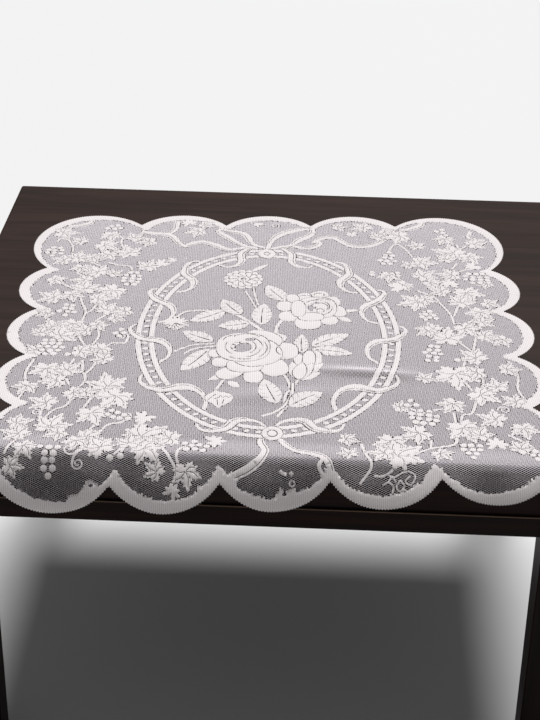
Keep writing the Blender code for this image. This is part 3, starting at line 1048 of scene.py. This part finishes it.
RIGHT_LEAVES = (
    (92, 272, 22), (122, 271, 28), (107, 252, 14), (141, 245, 26), (166, 245, 36), (152, 258, 22),
    (187, 219, 24), (225, 237, 28), (264, 226, 30), (229, 200, 42), (252, 188, 30), (221, 184, 26),
    (252, 165, 18), (191, 174, 34), (173, 167, 22), (146, 137, 28), (189, 139, 32), (221, 141, 30),
    (197, 118, 26), (218, 117, 20), (160, 113, 28), (152, 108, 18), (204, 99, 28), (237, 93, 38),
    (226, 74, 32), (171, 72, 38), (186, 78, 24), (184, 40, 20), (245, 46, 32), (247, 26, 26),
    (184, 8, 30), (225, 9, 32), (200, -9, 40), (178, 4, 26), (246, -6, 28), (225, -52, 34),
    (200, -92, 48), (166, -97, 22), (222, -86, 28), (225, -131, 36), (242, -112, 28), (189, -150, 30),
    (135, -154, 22), (229, -176, 32), (197, -196, 40), (212, -204, 26), (146, -204, 34), (75, -214, 22),
    (74, -240, 22), (119, -220, 34), (126, -242, 46), (108, -240, 28), (168, -241, 24), (226, -222, 20),
    (262, -16, 26), (260, -78, 26), (256, -142, 26), (258, -196, 30), (250, -228, 26), (262, 118, 22),
    (260, 70, 24),
)

LEFT_BUNCHES = (
    # top x, top y, turn, count in each row
    (-212, 262, 20, (1, 2, 2)), (-268, 212, -95, (2, 3, 3, 1)), (-166, 146, -95, (2, 3, 3, 3, 2)),
    (-236, 64, -95, (2, 2, 3, 1)), (-172, 8, -90, (1, 2, 1)), (-246, -16, -92, (3, 3, 4, 3, 2)),
    (-230, -50, 0, (1,)), (-148, -180, 150, (1, 2, 2, 2)), (-225, -228, -92, (3, 2, 2, 2, 1)),
    (-94, -222, -25, (1, 3, 2, 2)), (-167, -247, 0, (1,)), (-157, -245, 0, (1,)),
)
RIGHT_BUNCHES = (
    (220, 266, -60, (2, 1, 1)), (152, 204, -100, (1, 2, 2, 3, 2)), (126, 152, -90, (1, 1)),
    (158, 150, -90, (1, 1)), (254, 148, -95, (3, 4, 4, 2)), (188, 54, -100, (1, 2, 3)),
    (184, -26, -100, (2, 2, 3, 2, 2)), (203, -58, 0, (1,)), (160, -158, -100, (2, 4, 4, 3)),
    (200, -220, -92, (3, 3, 2, 1)), (146, -138, -90, (1, 2)), (268, -230, -90, (2, 3, 2)),
)

LEFT_TENDRILS = (
    # x, y, size, turn, side
    (-148, -176, 6, 60, 1), (-196, -236, 8, -100, -1), (-162, -12, 7, 80, 1), (-202, -251, 6, -90, 1),
    (-240, -166, 6, 100, 1), (12, 270, 6, 40, 1),
)
RIGHT_TENDRILS = (
    (226, 20, 6, -60, 1), (212, 20, 6, 60, -1), (236, -160, 7, 100, -1),
)


STEM_WIDTHS = (3.4, 2.6)
GOLDEN_TURN = 137.5
SMALL_LEAF = 21


def vine(drawing, stems, leaves, tendrils):
    """The grape vine along one side of the cloth."""
    for stem in stems:
        path = smooth_path(stem, 4)
        drawing.stroke(path, np.linspace(*STEM_WIDTHS, len(path)))
    for x, y, size, turn, side in tendrils:
        tendril(drawing, (x, y), size, turn, side)
    for k, (x, y, across) in enumerate(leaves):
        turn = GOLDEN_TURN * k
        if across < SMALL_LEAF:
            small_leaf(drawing, (x, y), across, turn)
        else:
            grape_leaf(drawing, (x, y), across, turn)


RIM_TOOTH = 3.1
RIM_DEPTH = 1.2
STEP_DEPTHS = (-0.8, 1.0)  # from, to
STEP_WALL = 0.06  # as a share of a column
PEAK_DEPTH = 1.8  # how much further in the border reaches over a valley
PEAK_RUN = 16.0
NOTCH_CHANCE = 0.15
NOTCH_DEPTH = 1.6


def band(drawing, shuffle):
    """The close-woven border. Its rim is finely toothed, and its inner edge steps in and out with
    the net's columns."""
    rim = edge_line(RIM_TOOTH / 2)
    rim[::2] += sideways(rim)[::2] * RIM_DEPTH
    drawing.weave(rim)
    line = edge_line(COLUMN, BAND_WIDTH)
    peaks = np.array(edge_peaks(BAND_WIDTH))
    near = np.linalg.norm(line[:, None] - peaks[None], axis=2).min(axis=1)
    depth = shuffle.uniform(*STEP_DEPTHS, len(line)) + PEAK_DEPTH * np.exp(-((near / PEAK_RUN) ** 2))
    depth += np.where(shuffle.random(len(line)) < NOTCH_CHANCE, NOTCH_DEPTH, 0.0)
    inward = sideways(line) * depth[:, None]
    next_place = STEP_WALL * line + (1 - STEP_WALL) * np.roll(line, -1, axis=0)
    drawing.leave_open(np.stack((line + inward, next_place + inward), 1).reshape(-1, 2))


TUFTS = (
    # x, y along the tips of each tuft, and their unevenness
    ((-208, -286), (-206, -283), (-198, -281), (-192, -276), (-188, -269), (-183, -267), (-179, -269),
     (-175, -270), 0.7),
    ((-76, -276), (-70, -275), (-65, -268), (-58, -263), (-51, -261), (-47, -265), (-43, -261),
     (-37, -270), 1.8),
    ((-3, -288), (3, -284), (5, -279), (9, -283), (14, -282), (19, -278), (21, -284), (33, -279), 1.4),
)
TUFT_HOLES = ((-183, -272.5), (9, -285.5))
TUFT_HOLE = (2.2, 1.5)  # half width, half height
TUFT_ROOT = 3.0
TUFT_TIP = 1.7
FRONT_BORDER = -CLOTH_SIZE * 0.4  # the border's front part lies nearer than this


def tufts(drawing, shuffle):
    """Upright threads of uneven length that stand up from the front border's inner edge."""
    line = edge_line(COLUMN, BAND_WIDTH)
    front = line[line[:, 1] < FRONT_BORDER]
    front = front[np.argsort(front[:, 0])]
    for *tips, unevenness in TUFTS:
        along, heights = np.array(tips, float).T
        for x in np.arange(along[0], along[-1], COLUMN):
            foot = np.interp(x, *front.T) - TUFT_ROOT
            top = np.interp(x, along, heights) + shuffle.uniform(-unevenness, unevenness)
            drawing.stroke([(x, foot), (x, top - COLUMN)], COLUMN)
            drawing.stroke([(x, top - COLUMN), (x, top)], TUFT_TIP)
    for place in TUFT_HOLES:
        drawing.leave_open(oval(*TUFT_HOLE, 10) + place)


SEED = 4


def close_work():
    """Everything that is closely woven."""
    shuffle = np.random.default_rng(SEED)
    drawing = Drawing()
    band(drawing, shuffle)
    for streamer in LEFT_STREAMERS + RIGHT_STREAMERS + TAILS:
        ribbon(drawing, streamer, edged=False)
    tufts(drawing, shuffle)
    for *points, width in LOOSE_ENDS:
        drawing.stroke(smooth_path(points), width)
    vine(drawing, LEFT_STEMS, LEFT_LEAVES, LEFT_TENDRILS)
    vine(drawing, RIGHT_STEMS, RIGHT_LEAVES, RIGHT_TENDRILS)
    for mirror in (False, True):
        winding_ribbon(drawing, mirror, over=False)
    wreath(drawing)
    for mirror in (False, True):
        winding_ribbon(drawing, mirror, over=True)
    for strand in BOW:
        ribbon(drawing, strand)
    rose_spray(drawing)
    for x, y, ring in ROSETTES:
        rosette(drawing, (x, y), ring)
    for x, y, turn, counts in LEFT_BUNCHES + RIGHT_BUNCHES:
        bunch(drawing, (x, y), turn, counts, shuffle)
    return drawing


TRIANGLE_HEIGHT = 0.866  # of one with equal sides, as a share of a side


def loose_points():
    """Points across the cloth that let wide woven work bend with it, closer where it falls over the
    edge."""
    half = CLOTH_SIZE / 2
    points = []
    for low, high, spacing in ((-half, FOLD_BELOW, FINE_SPACING), (FOLD_BELOW, half, COARSE_SPACING)):
        for row, y in enumerate(np.arange(low, high, spacing * TRIANGLE_HEIGHT)):
            xs = np.arange(-half, half, spacing) + (spacing / 2 if row % 2 else 0)
            points += [(x, y) for x in xs]
    return points


# Node trees


class Number:
    """A socket that holds a number, so that sums and products of it add Math nodes."""

    def __init__(self, tree, socket):
        self.tree, self.socket = tree, socket

    def math(self, operation, other=None, swapped=False):
        sides = [self] if other is None else [self, other]
        if swapped:
            sides.reverse()
        made = self.tree.node("ShaderNodeMath", {"operation": operation}, dict(enumerate(sides)))
        return Number(self.tree, made.outputs[0])

    def __add__(self, other):
        return self.math("ADD", other)

    def __sub__(self, other):
        return self.math("SUBTRACT", other)

    def __rsub__(self, other):
        return self.math("SUBTRACT", other, swapped=True)

    def __mul__(self, other):
        return self.math("MULTIPLY", other)

    def __truediv__(self, other):
        return self.math("DIVIDE", other)

    def __mod__(self, other):
        return self.math("FLOORED_MODULO", other)

    def __lt__(self, other):
        return self.math("LESS_THAN", other)

    __radd__ = __add__
    __rmul__ = __mul__


class Tree:
    """Adds nodes to a material's or a modifier's tree: their settings first, then values or links."""

    def __init__(self, tree):
        self.tree = tree

    def node(self, kind, settings=None, inputs=None):
        made = self.tree.nodes.new(kind)
        for name, value in (settings or {}).items():
            setattr(made, name, value)
        for name, value in (inputs or {}).items():
            value = value.socket if isinstance(value, Number) else value
            if isinstance(value, bpy.types.NodeSocket):
                self.tree.links.new(value, made.inputs[name])
            else:
                made.inputs[name].default_value = value
        return made

    def number(self, socket):
        return Number(self, socket)


# Pieces that repeat


def shape_tree(name, sizes):
    """An empty modifier tree with a named input for each size, and the sockets of those inputs by name."""
    group = bpy.data.node_groups.new(name, "GeometryNodeTree")
    group.interface.new_socket("Geometry", in_out="INPUT", socket_type="NodeSocketGeometry")
    group.interface.new_socket("Geometry", in_out="OUTPUT", socket_type="NodeSocketGeometry")
    kinds = {int: "NodeSocketInt", float: "NodeSocketFloat", bpy.types.Object: "NodeSocketObject",
             bpy.types.Material: "NodeSocketMaterial"}
    for label, value in sizes.items():
        group.interface.new_socket(label, in_out="INPUT", socket_type=kinds[type(value)])
    tree = Tree(group)
    given = tree.node("NodeGroupInput").outputs
    return tree, {socket.name: socket for socket in given if socket.name}


def grown(name, tree, given, sizes, result):
    """The plain mesh that a tree makes, with its sizes set by their identifiers."""
    realized = tree.node("GeometryNodeRealizeInstances", inputs={0: result})
    coated = tree.node("GeometryNodeSetMaterial", inputs={0: realized.outputs[0], 2: given["Material"]})
    tree.node("NodeGroupOutput", inputs={0: coated.outputs[0]})
    source = piece(name + "_source", mesh_of("start", [(0, 0, 0)], []))
    modifier = source.modifiers.new("growth", "NODES")
    modifier.node_group = tree.tree
    for item in tree.tree.interface.items_tree:
        if item.in_out == "INPUT" and item.name in sizes:
            modifier[item.identifier] = sizes[item.name]
    seen = source.evaluated_get(bpy.context.evaluated_depsgraph_get())
    mesh = bpy.data.meshes.new_from_object(seen)
    source.modifiers.remove(modifier)
    bpy.data.objects.remove(source)
    return mesh


def shape_of(tree, guide):
    return tree.node("GeometryNodeObjectInfo", inputs={0: guide}).outputs["Geometry"]


def position(tree):
    return tree.node("GeometryNodeInputPosition").outputs[0]


CAST_HEIGHT = 50.0  # rays start this far above the flat lace, and end as far below it


def over_guide(tree, guide):
    """Whether a point lies over a flat guide piece."""
    lifted = {0: position(tree), 1: (0.0, 0.0, CAST_HEIGHT)}
    above = tree.node("ShaderNodeVectorMath", {"operation": "ADD"}, lifted)
    cast = tree.node("GeometryNodeRaycast", inputs={
        "Target Geometry": shape_of(tree, guide), "Source Position": above.outputs[0],
        "Ray Direction": (0.0, 0.0, -1.0), "Ray Length": 2 * CAST_HEIGHT})
    return cast.outputs["Is Hit"]


def within(tree, geometry, guide, domain):
    """The part of the geometry that lies over a flat guide piece."""
    missed = tree.node("FunctionNodeBooleanMath", {"operation": "NOT"}, {0: over_guide(tree, guide)})
    cut = tree.node("GeometryNodeDeleteGeometry", {"domain": domain}, {0: geometry, 1: missed.outputs[0]})
    return cut.outputs[0]


def net_ribs(rib, inner_cloth, thread):
    """The net's upright threads, one along each column."""
    sizes = {"Columns": int(CLOTH_SIZE / COLUMN), "Column Spacing": COLUMN, "Rib": rib,
             "Cloth": inner_cloth, "Material": thread}
    tree, given = shape_tree("net_ribs", sizes)
    spacing, columns = tree.number(given["Column Spacing"]), tree.number(given["Columns"])
    first = tree.node("ShaderNodeCombineXYZ", inputs={0: (columns - 1) * spacing * -0.5})
    step = tree.node("ShaderNodeCombineXYZ", inputs={0: spacing})
    line = tree.node("GeometryNodeMeshLine", {"mode": "OFFSET"}, {
        "Count": given["Columns"], "Start Location": first.outputs[0], "Offset": step.outputs[0]})
    ribs = tree.node("GeometryNodeInstanceOnPoints", inputs={
        "Points": line.outputs[0], "Instance": shape_of(tree, given["Rib"])})
    plain = tree.node("GeometryNodeRealizeInstances", inputs={0: ribs.outputs[0]})
    kept = within(tree, plain.outputs[0], given["Cloth"], "FACE")
    return grown("net_ribs", tree, given, sizes, kept)


def moved(tree, geometry, axis, distance):
    """The geometry with each point moved along one axis."""
    offset = tree.node("ShaderNodeCombineXYZ", inputs={axis: distance}).outputs[0]
    return tree.node("GeometryNodeSetPosition", inputs={0: geometry, "Offset": offset}).outputs[0]


def staggered_places(tree, given):
    """A point in the middle of each crossing, with each column's half a row from the next one's."""
    column, row = tree.number(given["Column Spacing"]), tree.number(given["Row Spacing"])
    across = (tree.number(given["Columns"]) - 2) * column
    along = (tree.number(given["Rows"]) - 1) * row
    gaps = tree.number(given["Columns"]) - 1
    grid = tree.node("GeometryNodeMeshGrid", inputs={0: across, 1: along, 2: gaps, 3: given["Rows"]})
    here = tree.node("ShaderNodeSeparateXYZ", inputs={0: position(tree)})
    number = (tree.number(here.outputs[0]) + across * 0.5) / column + 0.5
    odd = number.math("FLOOR") % 2
    return moved(tree, grid.outputs[0], 1, odd * row * 0.5)


def crossing_thread(tree, given):
    """One crossing: a short thread with a ridge along its middle."""
    sides = {0: given["Column Spacing"], 1: given["Thread Width"], 2: 2, 3: 3}
    flat = tree.node("GeometryNodeMeshGrid", inputs=sides)
    here = tree.node("ShaderNodeSeparateXYZ", inputs={0: position(tree)})
    from_middle = tree.number(here.outputs[1]).math("ABSOLUTE") * 2 / tree.number(given["Thread Width"])
    return moved(tree, flat.outputs[0], 2, (1 - from_middle) * tree.number(given["Thread Height"]))


def net_crossings(inner_cloth, woven, thread):
    """The net's short threads from rib to rib, where no close-woven work lies."""
    sizes = {"Columns": int(CLOTH_SIZE / COLUMN), "Rows": int(CLOTH_SIZE / ROW), "Column Spacing": COLUMN,
             "Row Spacing": ROW, "Thread Width": CROSSING_WIDTH, "Thread Height": CROSSING_HEIGHT,
             "Clearance": HOLE_EDGE, "Cloth": inner_cloth, "Woven Work": woven, "Material": thread}
    tree, given = shape_tree("net_crossings", sizes)
    on_cloth = within(tree, staggered_places(tree, given), given["Cloth"], "POINT")
    work = shape_of(tree, given["Woven Work"])
    near = tree.node("GeometryNodeProximity", {"target_element": "FACES"}, {0: work}).outputs["Distance"]
    covered = tree.number(near) < tree.number(given["Clearance"])
    left = tree.node("GeometryNodeDeleteGeometry", {"domain": "POINT"}, {0: on_cloth, 1: covered})
    crossings = tree.node("GeometryNodeInstanceOnPoints", inputs={
        "Points": left.outputs[0], "Instance": crossing_thread(tree, given)})
    return grown("net_crossings", tree, given, sizes, crossings.outputs[0])


def rib_strip():
    """One upright thread of the net, as long as the cloth, with more points where the cloth bends."""
    rows = [y for low, high, step in RIB_ROWS for y in np.arange(low, high, step)]
    rows.append(RIB_ROWS[-1][1])
    points, faces = [], []
    for k, y in enumerate(rows):
        points += [(-RIB_WIDTH / 2, y, 0), (0, y, RIB_HEIGHT), (RIB_WIDTH / 2, y, 0)]
        if k:
            a = 3 * (k - 1)
            faces += [(a, a + 1, a + 4, a + 3), (a + 1, a + 2, a + 5, a + 4)]
    return mesh_of("rib", points, [face[::-1] for face in faces])


# Materials


def material(name, colour, roughness, specular=0.5, coat=0.0, coat_roughness=0.1, sheen=0.0):
    made = bpy.data.materials.new(name)
    made.use_nodes = True
    shader = made.node_tree.nodes["Principled BSDF"]
    values = {"Base Color": (*colour, 1), "Roughness": roughness, "Specular IOR Level": specular,
              "Coat Weight": coat, "Coat Roughness": coat_roughness, "Sheen Weight": sheen}
    for socket, value in values.items():
        shader.inputs[socket].default_value = value
    return made, Tree(made.node_tree), shader


def mixed(tree, factor, first, second):
    """A colour between two, as a link to the shader."""
    sides = {0: factor, 6: (*first, 1) if isinstance(first, tuple) else first, 7: (*second, 1)}
    return tree.node("ShaderNodeMix", {"data_type": "RGBA"}, sides).outputs[2]


def noise(tree, place, scale, detail, roughness=0.5, distortion=0.0):
    inputs = {"Vector": place, "Scale": scale, "Detail": detail, "Roughness": roughness,
              "Distortion": distortion}
    return tree.number(tree.node("ShaderNodeTexNoise", inputs=inputs).outputs[0])


def bumped(tree, shader, height, strength, distance):
    """Lets a height raise a surface, up to a distance in metres."""
    inputs = {"Strength": strength, "Distance": distance, "Height": height}
    bump = tree.node("ShaderNodeBump", inputs=inputs)
    tree.tree.links.new(bump.outputs[0], shader.inputs["Normal"])


# The light and the dark of each thread's white.
CLOSE_WHITES = ((0.86, 0.81, 0.805), (0.54, 0.495, 0.505))
# The ribs and the crossings are one cotton. The ribs' whites are paler than the woven work's as painted
# light, and the crossings' are darker as painted shade between the ribs.
RIB_LIT_WHITES = ((0.97, 0.932, 0.938), (0.90, 0.862, 0.875))
CROSSING_SHADED_WHITES = ((0.76, 0.705, 0.74), (0.67, 0.615, 0.655))
# Scales are counts across the cloth, strengths are shares of the way from the light to the dark.
MOTTLE_SCALE = 260.0
MOTTLE_STRENGTH = 0.45
CLOUD_SCALE = 9.0
CLOUD_STRENGTH = 0.2


def lace(name, light, dark, stripe):
    """White cotton: soft mottling, and fine upright ribs where it's closely woven."""
    made, tree, shader = material(name, light, roughness=0.9, specular=0.15, sheen=0.1)
    place = tree.node("ShaderNodeUVMap", {"uv_map": "flat"}).outputs[0]
    split = tree.node("ShaderNodeSeparateXYZ", inputs={0: place})
    column = tree.number(split.outputs[0]) * (CLOTH_SIZE / COLUMN * 2 * math.pi)
    ribs = column.math("COSINE") * 0.5 + 0.5
    mottle = noise(tree, place, MOTTLE_SCALE, detail=3.0)
    cloud = noise(tree, place, CLOUD_SCALE, detail=2.0)
    shade = ribs * stripe + mottle * MOTTLE_STRENGTH + cloud * CLOUD_STRENGTH
    tree.tree.links.new(mixed(tree, shade, light, dark), shader.inputs["Base Color"])
    bumped(tree, shader, ribs * -stripe + mottle, strength=0.35, distance=0.0003)
    return made


# A painted highlight: a pale brown line along the upper edge of the front rail's bead, where light glints
# on it.
BEAD_HIGHLIGHT_BROWN = (0.10, 0.066, 0.046)
BEAD_HIGHLIGHT_DEPTH = 0.0012
BEAD_HIGHLIGHT_WIDTH = 0.0016
BEAD_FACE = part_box("rail_front")[0][1]
BEAD_DROP = 0.081  # of the bead's top, below the table's
BEAD_TOP = TABLE_HEIGHT - BEAD_DROP


def bead_highlight_mask(tree, place):
    """Where a highlight is painted on the front rail's bead: along the upper edge of its face."""
    split = tree.node("ShaderNodeSeparateXYZ", inputs={0: place})
    back, height = tree.number(split.outputs[1]), tree.number(split.outputs[2])
    return (back < BEAD_FACE + BEAD_HIGHLIGHT_DEPTH) * (1 - (height < BEAD_TOP - BEAD_HIGHLIGHT_WIDTH))


# How close the wood's streaks and pores are, along the grain and across it, to the metre.
STREAKS = (2.4, 46.0)
PORES = (9.0, 220.0)
STREAK_MIDDLE = 0.36
STREAK_CONTRAST = 2.2
PORE_CONTRAST = 0.7
WOOD_ROUGHNESS = 0.40
PORE_ROUGHNESS = 0.16


def along_grain(tree, place, grain, scales):
    """A place stretched along the grain's axis."""
    along, across = scales
    stretch = tuple(along if axis == grain else across for axis in range(3))
    return tree.node("ShaderNodeMapping", inputs={"Vector": place, "Scale": stretch}).outputs[0]


def dark_wood(name, brown, black, grain, specular, with_painted_highlight=False):
    """Stained wood under varnish, with its grain along one axis."""
    made, tree, shader = material(name, brown, WOOD_ROUGHNESS, specular=specular, coat=0.03,
                                  coat_roughness=0.2)
    place = tree.node("ShaderNodeTexCoord").outputs["Object"]
    run = along_grain(tree, place, grain, STREAKS)
    streaks = noise(tree, run, 1.0, detail=6.0, roughness=0.62, distortion=0.6)
    pores = noise(tree, along_grain(tree, place, grain, PORES), 1.0, detail=3.0)
    tone = (streaks - STREAK_MIDDLE) * STREAK_CONTRAST + (pores - 0.5) * PORE_CONTRAST
    stain = mixed(tree, tone, black, brown)
    # Paints a highlight along the front rail's bead.
    if with_painted_highlight:
        stain = mixed(tree, bead_highlight_mask(tree, place), stain, BEAD_HIGHLIGHT_BROWN)
    tree.tree.links.new(stain, shader.inputs["Base Color"])
    rough = WOOD_ROUGHNESS + pores * PORE_ROUGHNESS
    tree.tree.links.new(rough.socket, shader.inputs["Roughness"])
    bumped(tree, shader, pores + streaks, strength=0.12, distance=0.0004)
    return made


FLOOR_GREY = (0.66, 0.66, 0.66)
FLOOR_REACH = 40.0


def plain_floor():
    corners = [(x * FLOOR_REACH, y * FLOOR_REACH, 0) for x, y in ((-1, -1), (1, -1), (1, 1), (-1, 1))]
    floor = piece("floor", mesh_of("floor", corners, [(0, 1, 2, 3)]))
    floor.data.materials.append(material("floor", FLOOR_GREY, 0.8)[0])


# The pieces


NET_REACH = BAND_WIDTH * 0.6  # the net ends under the border, this far inside the cloth's edge
NET_EDGE_STEP = 4.0


def build_lace(cloth_look, rib_look, crossing_look):
    """The close-woven work, the net's ribs and its crossings, as pieces that lie on the table."""
    points, triangles, on_edge = close_work().filled(loose_points())
    flat_work = piece("woven_guide", flat_mesh_of("woven_guide", points, triangles))
    inner = edge_line(NET_EDGE_STEP, NET_REACH)
    inner_cloth = piece("cloth_guide", flat_mesh_of("cloth_guide", inner, [range(len(inner))]))
    rib = piece("rib_guide", rib_strip())
    ribs = net_ribs(rib, inner_cloth, rib_look)
    crossings = net_crossings(inner_cloth, flat_work, crossing_look)
    lift = np.where(on_edge, WOVEN_EDGE_LIFT, WOVEN_LIFT)
    work = flat_mesh_of("woven_work", points, triangles, lift)
    work.materials.append(cloth_look)
    lay(work)
    for threads in (ribs, crossings):
        raise_by(threads, NET_LIFT)
        lay(threads, THREAD_UPRIGHT)
    made = [piece("woven_work", work), piece("net_ribs", ribs), piece("net_crossings", crossings)]
    for guide in (flat_work, inner_cloth, rib):
        bpy.data.objects.remove(guide)
    return made


def raise_by(mesh, lift):
    flat = np.empty(len(mesh.vertices) * 3, np.float32)
    mesh.vertices.foreach_get("co", flat)
    flat[2::3] += lift
    mesh.vertices.foreach_set("co", flat)


def joined(name, first, second):
    """Two pieces as one."""
    with bpy.context.temp_override(active_object=first, selected_editable_objects=[first, second]):
        bpy.ops.object.join()
    first.name = name
    return first


TOP_BROWN = (0.034, 0.015, 0.010)
TOP_BLACK = (0.013, 0.006, 0.004)
# The frame's browns are darker than the top's: painted shade on the rails and legs, which stand out of the
# light.
FRAME_SHADED_BROWN = (0.016, 0.005, 0.003)
FRAME_SHADED_BLACK = (0.004, 0.001, 0.001)
RAIL_GRAINS = {"rail_back": 0, "rail_left": 1, "rail_right": 1}  # the axis that each one's follows
UPRIGHT = 2


def dress_table():
    """Gives every part of the table its wood. The legs' grain stands upright."""
    top = dark_wood("dark_wood_top", TOP_BROWN, TOP_BLACK, 0, 0.12)
    looks = [dark_wood(f"dark_wood_frame_{letter}", FRAME_SHADED_BROWN, FRAME_SHADED_BLACK, axis, 0.05)
             for axis, letter in enumerate("xyz")]
    # The front rail's wood has a highlight painted along its bead.
    beaded = dark_wood("dark_wood_front_rail", FRAME_SHADED_BROWN, FRAME_SHADED_BLACK, 0, 0.05, with_painted_highlight=True)
    for name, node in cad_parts.items():
        if name == "tablecloth":
            continue
        plain = looks[RAIL_GRAINS.get(name, UPRIGHT)]
        look = {"table_top": top, "rail_front": beaded}.get(name, plain)
        for slot in node.material_slots:
            slot.material = look


DAYLIGHT_STRENGTH = 4.15
DAYLIGHT_SPREAD = math.radians(20)
DAYLIGHT_WAY = (-0.05, -0.44, -0.90)
STUDIO_WHITE = (1.0, 1.0, 1.0, 1)
STUDIO_STRENGTH = 0.14


def add_light():
    """Wide soft light from behind and above, and a little from all round."""
    data = bpy.data.lights.new("daylight", "SUN")
    data.energy = DAYLIGHT_STRENGTH
    data.angle = DAYLIGHT_SPREAD
    lamp = bpy.data.objects.new("daylight", data)
    lamp.rotation_euler = Vector(DAYLIGHT_WAY).to_track_quat("-Z", "Y").to_euler()
    bpy.context.scene.collection.objects.link(lamp)
    world = bpy.data.worlds.new("studio")
    bpy.context.scene.world = world
    world.use_nodes = True
    background = world.node_tree.nodes["Background"]
    background.inputs["Color"].default_value = STUDIO_WHITE
    background.inputs["Strength"].default_value = STUDIO_STRENGTH
    bpy.context.scene.view_settings.view_transform = "Standard"


# The camera's lens in millimetres, and its place in metres and degrees. Its y is counted from the
# table's middle.
LENS = 71.88
SENSOR_WIDTH = 36
NEAREST = 0.05
FARTHEST = 60.0
CAMERA_X = 0.0522
CAMERA_Y = -1.4818
CAMERA_HEIGHT = 1.2818
CAMERA_PITCH = 31.51
CAMERA_YAW = 2.15
CAMERA_ROLL = 0.909


def add_camera():
    data = bpy.data.cameras.new("camera")
    data.lens = LENS
    data.sensor_width = SENSOR_WIDTH
    data.clip_start = NEAREST
    data.clip_end = FARTHEST
    camera = bpy.data.objects.new("camera", data)
    camera.location = (CAMERA_X, CAMERA_Y + TABLE_MIDDLE_Y, CAMERA_HEIGHT)
    camera.rotation_euler = (
        Euler((math.radians(90 - CAMERA_PITCH), 0, math.radians(CAMERA_YAW))).to_matrix()
        @ Euler((0, 0, math.radians(CAMERA_ROLL))).to_matrix()
    ).to_euler()
    bpy.context.scene.collection.objects.link(camera)
    bpy.context.scene.camera = camera


add_light()
add_camera()
plain_floor()
dress_table()
cloth_look = lace("close_woven_cotton", *CLOSE_WHITES, stripe=0.5)
# The net's threads get painted light on the ribs and painted shade on the crossings.
rib_look = lace("net_rib_thread", *RIB_LIT_WHITES, stripe=0.0)
crossing_look = lace("net_crossing_thread", *CROSSING_SHADED_WHITES, stripe=0.0)
woven_work, ribs, net_crossings_piece = build_lace(cloth_look, rib_look, crossing_look)
tablecloth = joined("lace_cloth", woven_work, ribs)
for made in (tablecloth, net_crossings_piece):
    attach(made, "root")
    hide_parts("tablecloth")
abs(signed_area(edge_line(1.0))) * MM * MM
